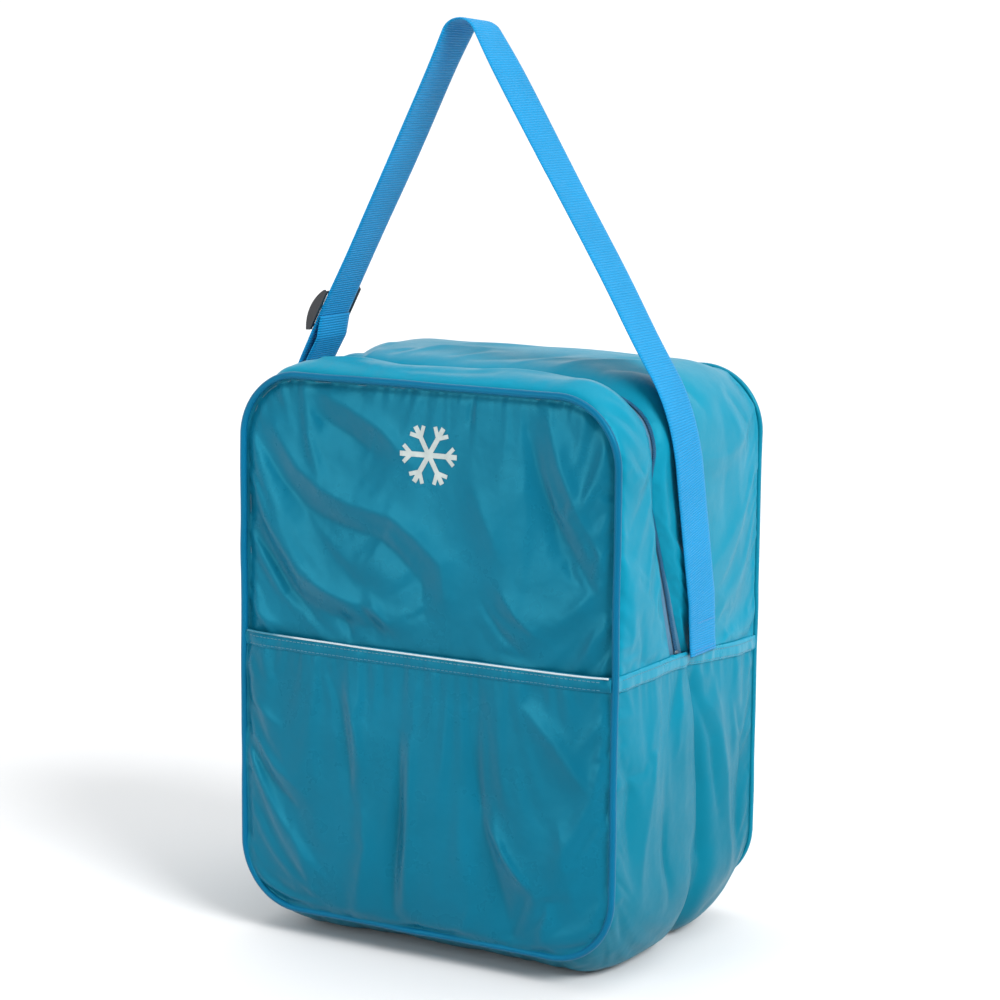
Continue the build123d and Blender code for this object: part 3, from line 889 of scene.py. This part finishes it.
FRONT_STRIP_FOLDS = [
    (3.2, 1.7, [(128, -94), (148, -77)]),
    (3.2, -1.8, [(137, -96), (165, -68)]),
    (3.2, 1.5, [(147, -98), (164, -82)]),
    (3.4, -1.6, [(156, -98), (187, -72)]),
    (6, 3.0, [(108, -90), (150, -72)]),
    (5, -2.6, [(96, -70), (140, -62)]),
    (6, 2.6, [(20, -82), (80, -68)]),
    (5, -2.4, [(-60, -72), (10, -66)]),
    (6, 2.4, [(-110, -84), (-50, -70)]),
    (5, -2.0, [(-30, -92), (40, -86)]),
] + on_right(
    [
        (5, 2.0, [(-60, 345), (-84, 300)]),
        (5, -2.2, [(-64, 352), (-92, 318)]),
        (5, 1.8, [(-56, 322), (-74, 262)]),
        (5, -1.6, [(-52, 305), (-62, 245)]),
        (6, 2.0, [(-92, 280), (-88, 232)]),
        (4, -1.6, [(-80, 262), (-72, 226)]),
    ]
)
REAR_STRIP_FOLDS = [
    (7, -4.0, [(95, -20), (128, 10), (150, 20)]),
    (7, 3.6, [(60, -22), (110, 20)]),
    (8, -3.0, [(-20, -20), (40, 30)]),
    (3.5, -1.5, [(-84, -18), (-64, 14)]),
    (3.5, 1.4, [(-75, -20), (-54, 10)]),
    (4, -1.7, [(-38, -16), (-24, 22)]),
    (4, 1.5, [(-28, -18), (-12, 16)]),
    (3.5, -1.6, [(12, -14), (40, 10), (66, 16)]),
    (3.5, 1.5, [(20, -22), (48, 0), (78, 6)]),
    (4, -1.5, [(70, 26), (104, 40)]),
    (4, 1.4, [(-60, 46), (-10, 60)]),
    (8, 3.0, [(-90, -10), (-20, 30)]),
    (4, -3.6, [(146, 66), (168, 90), (182, 90)]),
    (5, 2.2, [(156, 58), (180, 80), (192, 84)]),
    (7, -2.4, [(60, 60), (120, 90)]),
] + on_right(
    [
        (8, -2.0, [(45, 385), (50, 300)]),
        (7, 1.8, [(66, 372), (74, 300), (70, 240)]),
        (6, -1.4, [(48, 262), (80, 228)]),
        (6, 1.4, [(40, 235), (70, 216)]),
        (5, -1.6, [(84, 350), (92, 300)]),
        (5, 1.3, [(-14, 300), (4, 240)]),
    ]
)
LOWER_FOLDS = on_right(
    [
        (8, -6.5, [(2, 205), (10, 188), (26, 120), (28, 60), (16, 20)]),
        (10, 3.0, [(36, 185), (58, 120), (72, 44)]),
        (10, 3.0, [(-46, 205), (-62, 140), (-72, 64)]),
        (5, -2.4, [(2, 208), (36, 150), (50, 92)]),
        (5, 2.0, [(14, 206), (44, 168)]),
        (5, -2.0, [(-14, 205), (-34, 168)]),
        (5, 1.8, [(-8, 206), (-22, 150)]),
        (6, -2.6, [(70, 172), (92, 120), (84, 60)]),
        (5, -1.8, [(-90, 160), (-84, 90)]),
        (6, -2.4, [(-40, 110), (-30, 50)]),
        (5, -2.0, [(-100, 60), (-80, 24)]),
        (5, 1.6, [(96, 70), (80, 30)]),
    ]
)


def clear_of_strap(obj):
    """Keeps the cloth of the sides under the strap, and flatter where the strap's end turns."""
    co = read_points(obj)
    away = np.hypot(co[:, 1] - STRAP_END_Y, co[:, 2] - STRAP_END_Z)
    limit = HALF_X + 0.0012 + 0.0036 * smooth((away - 0.028) / 0.020)
    beside_strap = (co[:, 2] > 0.16) & (co[:, 2] < TOP_Z - CORNER_R + 0.01)
    limit = np.where(beside_strap, limit, 1.0)
    co[:, 0] = np.clip(co[:, 0], -limit, limit)
    write_points(obj, co)


def strip_grid(name, front):
    """One gusset strip beside the zip."""
    rows = int(2 * side_s(HINGE_Z) / STEP)
    columns = 30 if front else 66
    a = np.linspace(-1, 1, rows)
    v = np.linspace(0, 1, columns)
    v = 0.55 * v + 0.45 * (0.5 - 0.5 * np.cos(np.pi * v))
    a, v = np.meshgrid(a, v, indexing="ij")
    middle, half_gap, depth = zip_line(a * side_s(HINGE_Z))
    seam = -SEAM_Y if front else SEAM_Y
    lip = middle - half_gap if front else middle + half_gap
    y = seam + v * (lip - seam)
    s = a * side_s(seam_z(y))
    top = top_share(s)
    width = np.abs(lip - seam)
    if front:
        arch = lip_arch(v, width, 0.0034 + 0.0076 * top**2, depth + 0.0004, 0.46, 0.011 + 0.010 * top)
    else:
        arch = lip_arch(v, width, 0.0044 + 0.0086 * top, depth + 0.0004, 0.40, 0.010 + 0.022 * top)
    near_seam = smooth(above_seam(s, y) / 0.055)
    arch = np.where(arch > 0, arch * (0.16 + 0.84 * near_seam), arch)
    inside = smooth(v / 0.12) * smooth((1 - v) / 0.12)
    lines = FRONT_STRIP_FOLDS if front else REAR_STRIP_FOLDS
    rise = folds(s, y, lines) + 0.9 * folds(-s * 1.03, y * 0.9 + 0.006, lines) * (s < -S_CORNER)
    rise *= inside * (0.55 + 0.45 * top)
    rise += pucker(s, v * width, 0.010, 0.0018, 0.0085, 61 if front else 71) * (0.5 + 0.5 * top)
    rise += pucker(s, (1 - v) * width, 0.010, 0.0016, 0.0080, 81 if front else 91) * inside
    rise += pucker(y, np.maximum(above_seam(s, y), 0), 0.022, 0.0016, 0.009, 95) * inside
    points = on_gusset(s, y, arch)
    rise += 0.0015 * ripple(points, 0.045, 13) * inside * (0.4 + 0.6 * top)
    points = on_gusset(s, y, arch + rise)
    obj = grid(name, s, y, points, flip=not front)
    settle(obj, 0.014, 0.04, 0.0018)
    _, _, nx, nz = outline(s.ravel())
    way_in = -np.stack([nx, np.zeros(nx.shape), nz], axis=-1)
    press_in(obj, (v * width).ravel(), way_in, 0.0024 if front else -0.0008, 0.0024)
    clear_of_strap(obj)
    return finish_cloth(obj, side_fabric, lining)


front_strip = strip_grid("front_strip_cloth", True)
stands_for(front_strip, "side_fabric", "front_gusset_strip")
rear_strip = strip_grid("rear_strip_cloth", False)
on_bag(rear_strip, "side_fabric", "rear_gusset_strip")

rows = int(2 * (S_HALF - side_s(HINGE_Z)) / STEP)
a, y = np.meshgrid(np.linspace(0, 1, rows), np.linspace(-SEAM_Y, SEAM_Y, 85), indexing="ij")
start = side_s(seam_z(y))
s = start + a * 2 * (S_HALF - start)
mirrored = 2 * S_HALF - s
from_top = np.minimum(s, mirrored)
base = smooth((from_top - S_LOW + 0.012) / (S_BASE - S_LOW + 0.006))
across = 1 - np.abs(y / SEAM_Y) ** (2.2 + 3.4 * base)
crown = 0.0052 * smooth((from_top - side_s(HINGE_Z)) / 0.05) * (1 - base) + 0.0202 * base
edge = SEAM_Y - np.abs(y)
inside = smooth(edge / 0.010)
fold = 1.35 * folds(s, y, LOWER_FOLDS) + folds(mirrored, y * 0.9 - 0.004, LOWER_FOLDS)
rise = fold * inside * (1 - 0.75 * base)
# A shallow dent runs down each side, behind the middle
dent = 0.006 * np.exp(-(((y - 0.016) / 0.011) ** 2)) * smooth((from_top - S_LOW + 0.03) / 0.05)
dent *= 1 - smooth((from_top - S_BASE - 0.01) / 0.04)
rise -= dent
rise += pucker(s, edge, 0.015, 0.0024, 0.0095, 101)
# The gathers under the cross seam are weaker towards the front
behind = 0.4 + 0.6 * smooth((y + 0.03) / 0.03)
rise += pucker(y, np.maximum(from_top - start - 0.010, 0), 0.024, 0.0026, 0.0085, 111) * inside * behind
points = on_gusset(s, y, crown * across)
rise += 0.0020 * ripple(points, 0.05, 17) * inside * (1 - 0.6 * base)
points = on_gusset(s, y, crown * across + rise)
lower_shell = grid("lower_shell_cloth", s, y, points)
settle(lower_shell, 0.014, 0.04, 0.0022)
# The base flattens as it comes down to the floor
FLOOR_GAP = 0.0004
FLATTEN_Z = 0.004
co = read_points(lower_shell)
pressed = FLATTEN_Z - (FLATTEN_Z - FLOOR_GAP) * np.tanh((FLATTEN_Z - co[:, 2]) / FLATTEN_Z)
co[:, 2] = np.where(co[:, 2] < FLATTEN_Z, pressed, co[:, 2])
write_points(lower_shell, co)
clear_of_strap(lower_shell)
finish_cloth(lower_shell, shell_fabric, lining)
on_bag(lower_shell, "side_fabric", "lower_gusset")

# --- piping, bindings and the bands over the cross seam ---


def circle(radius, count):
    turn = np.linspace(0, 2 * math.pi, count, endpoint=False)
    return np.stack([np.cos(turn) * radius, np.sin(turn) * radius], axis=1)


def piping_ring(name, y, radius, material, seed):
    """A covered cord sewn all along the outline, a little uneven."""
    s = np.linspace(-S_HALF, S_HALF, int(2 * S_HALF / 0.002), endpoint=False)
    x, z, nx, nz = outline(s)
    wobble = 0.0005 * (wave(s, 0.03, seed) - 0.4)
    sway = 0.0007 * (wave(s, 0.04, seed + 1) - 0.4)
    centres = np.stack([x + nx * wobble, y + sway, z + nz * wobble], axis=-1)
    out = np.stack([nx, np.zeros(len(s)), nz], axis=-1)
    ring = tube(name, centres, out, np.tile(TO_REAR, (len(s), 1)), circle(radius, 14), close=True)
    ring.data.materials.append(material)
    return ring


front_piping = piping_ring("front_piping_cord", PIPING_Y, PIPING_R, piping_fabric, 121)
stands_for(front_piping, "piping_fabric", "front_piping_upper", "front_piping_lower")
rear_piping = piping_ring("rear_piping_cord", REAR_PIPING_Y, REAR_PIPING_R, rear_piping_fabric, 131)
on_bag(rear_piping, "side_fabric", "rear_piping")


def binding_ring(name, y_low, y_high, seed):
    """Tape sewn over the seam allowance inside the bag."""
    s = np.linspace(-S_HALF, S_HALF, 420, endpoint=False)
    y = np.linspace(y_low, y_high, 7)
    s, y = np.meshgrid(s, y, indexing="ij")
    lift = -0.0026 - 0.0006 * wave(s, 0.02, seed) - 0.0007 * ((y - y_low) / (y_high - y_low) * 2 - 1) ** 2
    ring = grid(name, s, y, on_gusset(s, y, lift), close=True)
    return thicken(ring, 0.0007, binding_tape)


front_binding = binding_ring("front_binding_tape", -SEAM_Y + 0.0005, -SEAM_Y + 0.009, 141)
stands_for(front_binding, "binding_tape", "front_seam_binding_upper", "front_seam_binding_lower")
rear_binding = binding_ring("rear_binding_tape", SEAM_Y - 0.009, SEAM_Y - 0.0005, 151)
on_bag(rear_binding, "binding_tape", "rear_seam_binding")

side_tree = surface_tree(lower_shell, rear_strip, front_strip)
BAND_H = 0.0095

for name, side in (("left", -1), ("right", 1)):
    y = np.linspace(-SEAM_Y - 0.0012, SEAM_Y + 0.0005, 108)
    w = np.linspace(-0.0008, BAND_H, 9)
    y, w = np.meshgrid(y, w, indexing="ij")
    points = np.zeros((*y.shape, 3))
    lift = 0.0011 * np.clip(np.sin(np.pi * np.clip((w + 0.0008) / (BAND_H + 0.0008), 0, 1)), 0, 1) ** 0.4
    lift += 0.0004 * (wave(y + side, 0.006, 161) - 0.5)
    for i in np.ndindex(y.shape):
        z_here = seam_z(y[i]) - w[i]
        y_here = min(max(y[i], -SEAM_Y + 0.002), SEAM_Y - 0.002)
        hit, _ = drop(side_tree, (side * RAY_START, y_here, z_here), (-side, 0, 0), 0.0)
        reach = abs(hit.x) if hit is not None else HALF_X
        away = math.hypot(y[i] - STRAP_END_Y, z_here - STRAP_END_Z)
        rise_here = lift[i] * (0.45 + 0.55 * float(smooth((away - 0.028) / 0.015)))
        points[i] = (side * (reach + 0.0003 + rise_here), y[i], z_here)
    band = grid(f"seam_band_cloth_{name}", y, w, points, flip=side < 0)
    finish_cloth(band, band_fabric, thickness=0.0007)
    on_bag(band, "side_fabric", f"cross_seam_band_{name}")
    band_tree = surface_tree(band)
    places = []
    for down in (0.0016, BAND_H - 0.0014):
        line = np.linspace(-SEAM_Y + 0.004, SEAM_Y - 0.004, 60)
        starts = [(side * RAY_START, v, float(seam_z(np.array(v))) - down) for v in line]
        places += stitch_row(band_tree, starts, (-side, 0, 0), 0.0034)
    stitches = capsules(f"seam_band_stitches_{name}", places, 0.0026, 0.00026, teal_thread)
    on_bag(stitches, "side_fabric")

# --- pocket hem, its stitching and reflective piping ---

pocket_tree = surface_tree(pocket)
hem_x = np.linspace(-HALF_X + 0.0016, HALF_X - 0.0016, 150)
w = np.linspace(0.0, HEM_DEPTH - 0.001, 7)
hx, w = np.meshgrid(hem_x, w, indexing="ij")
points = np.zeros((*hx.shape, 3))
for i in np.ndindex(hx.shape):
    z_here = HINGE_Z - 0.0012 - w[i]
    hit, _ = drop(pocket_tree, (hx[i], -RAY_START, z_here), TO_REAR, 0.0)
    points[i] = (hx[i], hit.y, z_here)
puff = 0.0008 * np.sin(np.pi * np.clip(w / (HEM_DEPTH - 0.001), 0.02, 0.98)) ** 0.5
points[..., 1] -= 0.0002 + puff * (0.8 + 0.4 * wave(hx, 0.008, 171))
hem = grid("pocket_hem_cloth", hx, w, points, flip=True)
finish_cloth(hem, hem_fabric, thickness=0.0006)
on_bag(hem, "front_fabric", "pocket_hem")

hem_tree = surface_tree(hem, pocket)
places = []
for down in (0.0040, HEM_DEPTH - 0.0014):
    line = [(v, -RAY_START, HINGE_Z - down) for v in np.linspace(-HALF_X + 0.006, HALF_X - 0.006, 100)]
    places += stitch_row(hem_tree, line, TO_REAR, 0.0033)
hem_stitches = capsules("pocket_hem_stitches", places, 0.0025, 0.00025, teal_thread)
on_bag(hem_stitches, "front_fabric")

cord_r = (reflective_high.y - reflective_low.y) / 2
cord_x = np.linspace(-HALF_X + 0.0035, HALF_X - 0.0035, 190)
cord = np.zeros((len(cord_x), 3))
for i, v in enumerate(cord_x):
    origin = (np.clip(v, hem_x[0] + 0.001, hem_x[-1] - 0.001), -RAY_START, HINGE_Z - 0.0022)
    hit, _ = drop(hem_tree, origin, TO_REAR, 0.0)
    cord[i] = (v, hit.y - 0.0003, HINGE_Z - cord_r + 0.0006 * (wave(np.array(v), 0.05, 181) - 0.5))
cord[:, 1] = np.convolve(np.pad(cord[:, 1], 4, mode="edge"), np.ones(9) / 9, mode="valid")
across = np.tile(-TO_REAR, (len(cord), 1))
up = np.tile([0.0, 0.0, 1.0], (len(cord), 1))
glow = tube("reflective_cord", cord, across, up, circle(cord_r * 0.62, 12))
glow.data.materials.append(reflective)
on_bag(glow, "reflective", "pocket_reflective_piping")

# --- the zip: tapes, coils and end stops ---


def tape(name, front):
    s = np.linspace(-side_s(HINGE_Z - 0.006), side_s(HINGE_Z - 0.006), 310)
    v = np.linspace(0, 1, 7)
    s, v = np.meshgrid(s, v, indexing="ij")
    middle, half_gap, depth = zip_line(s)
    sign = -1 if front else 1
    y = middle + sign * (0.0008 + v * (half_gap + 0.0055))
    lift = -depth - 0.0002 + 0.0003 * (wave(s, 0.03, 191) - 0.5) * smooth((s + S_SIDE) / 0.02)
    obj = grid(name, s, y, on_gusset(s, y, lift), flip=front)
    return thicken(obj, CLOTH_T, zip_tape)


def coil(name, front):
    """A row of meshing nylon loops along one tape."""
    pitch = 0.0015
    count = int(2 * side_s(HINGE_Z) / pitch)
    s = -side_s(HINGE_Z) + (np.arange(count) + (0.5 if front else 0.0)) * pitch
    middle, _, depth = zip_line(s)
    sign = -1 if front else 1
    x, z, nx, nz = outline(s)
    places = []
    for i in range(count):
        normal = Vector((nx[i], 0, nz[i]))
        centre = Vector((x[i], middle[i] + sign * 0.0009, z[i])) - normal * (depth[i] - 0.0008)
        places.append((centre, Vector((0, 1, 0)), normal))
    return capsules(name, places, 0.0030, 0.00058, coil_nylon)


zip_pieces = []
for front, node in ((True, "front"), (False, "rear")):
    pair = (tape(f"zip_{node}_tape", front), coil(f"zip_{node}_coil", front))
    for piece, slot in zip(pair, ("zip_tape", "zip_coil")):
        stands_for(piece, slot, f"{slot}_{node}")
        if front:
            zip_pieces.append(piece)
        else:
            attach(piece, "bag")


def end_stops():
    """A crimped metal stop at each end of the coil."""
    bm = bmesh.new()
    for sign in (-1, 1):
        s = np.array(sign * side_s(HINGE_Z - 0.0004))
        middle, _, depth = zip_line(s)
        x, z, nx, _ = outline(s)
        place = Matrix.Translation((float(x - nx * (depth - 0.0009)), float(middle), float(z)))
        size = Matrix.Diagonal((0.0022, 0.0044, 0.0024, 1))
        made = bmesh.ops.create_cube(bm, size=1.0, matrix=place @ size)
        edges = {e for v in made["verts"] for e in v.link_edges}
        bmesh.ops.bevel(bm, geom=list(edges), offset=0.0006, segments=3, affect="EDGES")
    return from_bmesh("zip_end_stop_pair", bm, nickel)


on_bag(end_stops(), "zip_metal", "zip_end_stops")

# --- the printed snow crystal, cut from the CAD outline and laid on the cloth ---


def printed_mark(tree):
    bm = bmesh.new()
    bm.from_mesh(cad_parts["printed_mark"].data)
    back = [f for f in bm.faces if f.normal.y > -0.9]
    bmesh.ops.delete(bm, geom=back, context="FACES")
    bmesh.ops.remove_doubles(bm, verts=bm.verts, dist=1e-6)
    bmesh.ops.triangulate(bm, faces=bm.faces)
    for _ in range(5):
        long_edges = [e for e in bm.edges if e.calc_length() > 0.0018]
        if long_edges:
            bmesh.ops.subdivide_edges(bm, edges=long_edges, cuts=1)
            bmesh.ops.triangulate(bm, faces=bm.faces)
    for v in bm.verts:
        hit, _ = drop(tree, (v.co.x, -RAY_START, v.co.z), TO_REAR, 0.0)
        v.co.y = hit.y - 0.00028
    for f in bm.faces:
        f.smooth = True
    return from_bmesh("snow_crystal_print", bm, pale_print)


mark = printed_mark(surface_tree(front_panel))
stands_for(mark, "print", "printed_mark")

for piece in (front_panel, front_strip, front_piping, front_binding, mark, *zip_pieces):
    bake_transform(piece)

# --- the shoulder strap ---

HALF_W = 0.020
LEAN_LOW_Z = 0.205
LEAN_TOP_Z = 0.370
BEND_Z = 0.388
TOP_Y = STRAP_END_Y - 0.040
APEX = (-0.017, 0.664)
WEB_T = 0.0016
RIB_RISE = 0.00009
RIGHT_X = strap_high.x - WEB_T / 2
LEFT_X = strap_low.x + WEB_T / 2


def rounded_path(corners, radii, step):
    """Points about every step along straight runs joined by arcs, in the front view."""
    corners = [Vector(c) for c in corners]
    path = [corners[0]]
    for before, corner, after, radius in zip(corners[:-2], corners[1:-1], corners[2:], radii):
        d1 = (before - corner).normalized()
        d2 = (after - corner).normalized()
        half = d1.angle(d2) / 2
        reach = radius / math.tan(half)
        first, last = corner + d1 * reach, corner + d2 * reach
        centre = corner + (d1 + d2).normalized() * (radius / math.sin(half))
        sweep = math.pi - 2 * half
        count = max(4, int(radius * sweep / step))
        a, b = first - centre, last - centre
        for k in range(count + 1):
            t = k / count
            arc = (a * math.sin((1 - t) * sweep) + b * math.sin(t * sweep)) / math.sin(sweep)
            path.append(centre + arc)
    path.append(corners[-1])
    line = np.array([tuple(p) for p in path])
    along = run_length(line)
    even = np.linspace(0, along[-1], int(along[-1] / step) + 1)
    return np.stack([np.interp(even, along, line[:, k]) for k in (0, 1)], axis=1)


def strap_y(z):
    """The strap leans forward as it goes up the side."""
    share = (z - LEAN_LOW_Z) / (LEAN_TOP_Z - LEAN_LOW_Z)
    eased = np.where(share < 0.8, share, 0.8 + 0.2 * np.tanh((share - 0.8) / 0.2))
    return STRAP_END_Y + (TOP_Y - STRAP_END_Y) * eased


def web_section(half_width, thickness):
    """A flat section with rounded edges."""
    across = np.linspace(-1, 1, 15)
    rim = np.minimum(1.0, ((1 - np.abs(across)) / 0.05 + 0.15)) ** 0.5
    top = np.stack([across * half_width, thickness / 2 * rim], axis=1)
    return np.concatenate([top, -top])


def ribbon(name, path, half_width, thickness, y_of, twist=None, offset=0.0):
    """Webbing along a path in the front view, with raised ribs across it."""
    centres = np.stack([path[:, 0], y_of(path[:, 1]), path[:, 1]], axis=1)
    tangent = unit(np.gradient(centres, axis=0))
    # Low down the web lies against the side; higher up it is square to its own run
    square = smooth((centres[:, 2:] - 0.224) / 0.045)
    wide = unit(TO_REAR - tangent * tangent[:, 1:2] * square)
    up = np.cross(tangent, wide)
    if twist is not None:
        c, s = np.cos(twist)[:, None], np.sin(twist)[:, None]
        wide, up = wide * c + up * s, up * c - wide * s
    centres = centres + offset
    section = web_section(half_width, thickness)
    along = run_length(centres)
    swell = 1 - RIB_RISE / thickness * 2 * np.cos(2 * math.pi * along / WEB_RIB)
    narrow = 1 - 0.012 * wave(along, 0.03, 201)
    points = (
        centres[:, None]
        + wide[:, None] * (section[None, :, :1] * narrow[:, None, None])
        + up[:, None] * (section[None, :, 1:] * swell[:, None, None])
    )
    obj = skin(name, points, along, section[:, 0])
    obj.data.materials.append(blue_webbing)
    bm = bmesh.new()
    bm.from_mesh(obj.data)
    bmesh.ops.recalc_face_normals(bm, faces=bm.faces)
    bm.to_mesh(obj.data)
    bm.free()
    return obj


FINE = WEB_RIB / 3
tab_low, tab_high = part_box("strap_ring_tab")

# Where the strap turns in the ring, and the layer of it that goes back up beside the bag
fold_z = 0.2255
inner_x = -HALF_X - 0.00645
main_path = rounded_path(
    [
        (RIGHT_X - 0.0026, 0.2152),
        (RIGHT_X - 0.0024, 0.2240),
        (RIGHT_X, 0.2560),
        (RIGHT_X, BEND_Z - 0.004),
        APEX,
        (LEFT_X, BEND_Z - 0.004),
        (LEFT_X, fold_z - 0.0012),
        ((LEFT_X + inner_x) / 2, fold_z - 0.0024),
        (inner_x, fold_z - 0.0012),
        (inner_x, fold_z + 0.006),
    ],
    [0.02, 0.06, 0.13, 0.013, 0.13, 0.0016, 0.0012, 0.0016],
    FINE,
)


def strap_wave(path, size, seed):
    """Webbing is never quite straight: it sways a little between its ends."""
    fade = smooth((path[:, 1] - 0.40) / 0.05)
    sway = (wave(run_length(path), 0.07, seed) - 0.4) * size * fade
    tangent = unit(np.gradient(path, axis=0))
    return np.stack([-tangent[:, 1] * sway, np.zeros(len(path)), tangent[:, 0] * sway], axis=1)


main_along = run_length(main_path)
crest = int(np.argmax(main_path[:, 1]))
near_crest = np.exp(-(((main_along - main_along[crest]) / 0.03) ** 2))
above_bag = smooth((main_path[:, 1] - 0.42) / 0.08)
twist = 0.10 * near_crest + 0.10 * (wave(main_along, 0.10, 205) - 0.4) * above_bag
sway = strap_wave(main_path, 0.002, 203)
strap = ribbon("strap_web", main_path, HALF_W, WEB_T, strap_y, twist, sway)
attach(stands_for(strap, "webbing", "strap_webbing", "strap_fold", "strap_end_fold_right"), "strap")

leg = Vector((APEX[0] - LEFT_X, 0, APEX[1] - BEND_Z)).normalized()
inward = Vector((leg.z, 0, -leg.x))
bend = Vector((LEFT_X, 0, BEND_Z))


def beside_leg(rise, gap):
    """A point beside the left leg, above its bend."""
    p = bend + leg * rise + inward * gap
    return (p.x, p.z)


return_path = rounded_path(
    [
        (inner_x, fold_z + 0.005),
        (inner_x, 0.300),
        (inner_x, BEND_Z - 0.006),
        beside_leg(0.020, 0.0062),
        beside_leg(0.044, 0.0072),
        beside_leg(0.0595, 0.0026),
    ],
    [0.05, 0.03, 0.04, 0.012],
    FINE,
)
return_web = ribbon("strap_return_web", return_path, HALF_W - 0.0006, 0.0015, strap_y)
stands_for(return_web, "webbing", "strap_return_layer")
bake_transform(return_web)

tab_outer = tab_low.x + 0.0006
tab_inner = tab_high.x - 0.0006
tab_path = rounded_path(
    [
        (tab_outer, tab_low.z),
        (tab_outer, tab_high.z - 0.0008),
        ((tab_outer + tab_inner) / 2, tab_high.z + 0.0004),
        (tab_inner, tab_high.z - 0.0008),
        (tab_inner, tab_low.z + 0.001),
    ],
    [0.0014, 0.0012, 0.0014],
    0.0005,
)
tab = ribbon("ring_tab_web", tab_path, HALF_W - 0.0008, 0.0012, lambda z: np.full(z.shape, STRAP_END_Y))
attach(stands_for(tab, "webbing", "strap_ring_tab", "strap_end_fold_left"), "strap")

# Bar tacks where the strap's ends are sewn down
web_tree = surface_tree(strap, tab)
tacks = []
for side, z_rows in ((1, (0.2165, 0.2195, 0.2390)), (-1, (0.2035, 0.2065))):
    for z_row in z_rows:
        across = np.linspace(STRAP_END_Y - 0.017, STRAP_END_Y + 0.016, 30)
        line = [(side * RAY_START, v, z_row) for v in across]
        tacks += stitch_row(web_tree, line, (-side, 0, 0), 0.0028)
strap_stitches = capsules("strap_end_stitches", tacks, 0.0023, 0.0003, blue_thread)
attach(stands_for(strap_stitches, "webbing"), "strap")

# --- CAD pieces that stay, with their own finishes ---

KEPT = {
    "strap_ring": black_plastic,
    "strap_adjuster": black_plastic,
    "zip_slider": nickel,
    "zip_pull": nickel,
}
for node, material in KEPT.items():
    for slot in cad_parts[node].material_slots:
        slot.material = material

# --- floor, light and camera ---

scene = bpy.context.scene
scene.view_settings.view_transform = "Standard"


def pale_floor():
    m = new_material("pale_floor")
    place = (m.add("TexCoord"), "Object")
    cloud = m.noise(place, 1.5, 4.0, 0.6)
    grain = m.noise(place, 220.0, 3.0, 0.6)
    base = m.mix(cloud, (0.66, 0.665, 0.67), (0.69, 0.695, 0.70))
    m.set(Specular_IOR_Level=0.2)
    return m.finish(base, 0.7, m.bump(grain, 0.0002, 0.3))


FLOOR = 15
corners = [(-FLOOR, -FLOOR, 0), (FLOOR, -FLOOR, 0), (FLOOR, FLOOR, 0), (-FLOOR, FLOOR, 0)]
floor = new_mesh("floor", corners, [(0, 1, 2, 3)])
floor.data.materials.append(pale_floor())


def aimed(name, data, location):
    """Puts a light in place, pointing at the bag's middle."""
    obj = add_object(name, data)
    obj.location = location
    aim = Vector((0, 0, 0.25)) - Vector(location)
    obj.rotation_euler = aim.to_track_quat("-Z", "Y").to_euler()


def soft_light(name, location, size, power):
    data = bpy.data.lights.new(name, "AREA")
    data.shape = "RECTANGLE"
    data.size, data.size_y = size
    data.energy = power
    aimed(name, data, location)


def far_light(name, location, strength, angle):
    """Even light from one side, as soft as its angle is wide."""
    data = bpy.data.lights.new(name, "SUN")
    data.energy = strength
    data.angle = math.radians(angle)
    aimed(name, data, location)


far_light("key_right", (2.8, -1.0, 2.5), 3.3, 26)
far_light("top_back", (0.3, 1.0, 3.0), 0.7, 50)
soft_light("fill_front", (-0.95, -2.6, 0.95), (0.9, 1.7), 32)


def studio_world():
    """A white backdrop behind the bag that fades to grey behind the camera."""
    m = Nodes(bpy.data.worlds.new("studio"), "Background")
    split = m.add("SeparateXYZ", Vector=(m.add("TexCoord"), "Generated"))
    m.set(Color=(0.99, 0.995, 1.0), Strength=m.spread((split, "Y"), -0.95, -0.10, 0.22, 1.06))
    return m.owner


scene.world = studio_world()

CAMERA_PLACE = Vector((0.9959, -1.7363, 0.6366))
CAMERA_LINE = Vector((-0.49226, 0.85559, -0.16013))
CAMERA_ROLL = 0.0099
LENS_MM = 101.85
SENSOR_MM = 36

camera_data = bpy.data.cameras.new("camera")
camera_data.lens = LENS_MM
camera_data.sensor_width = SENSOR_MM
camera = add_object("camera", camera_data)
forward = CAMERA_LINE.normalized()
level = forward.cross(Vector((0, 0, 1))).normalized()
raised = level.cross(forward)
tilt_right = level * math.cos(CAMERA_ROLL) + raised * math.sin(CAMERA_ROLL)
tilt_up = raised * math.cos(CAMERA_ROLL) - level * math.sin(CAMERA_ROLL)
pose = Matrix((tilt_right, tilt_up, -forward)).transposed().to_4x4()
pose.translation = CAMERA_PLACE
camera.matrix_world = pose
scene.camera = camera
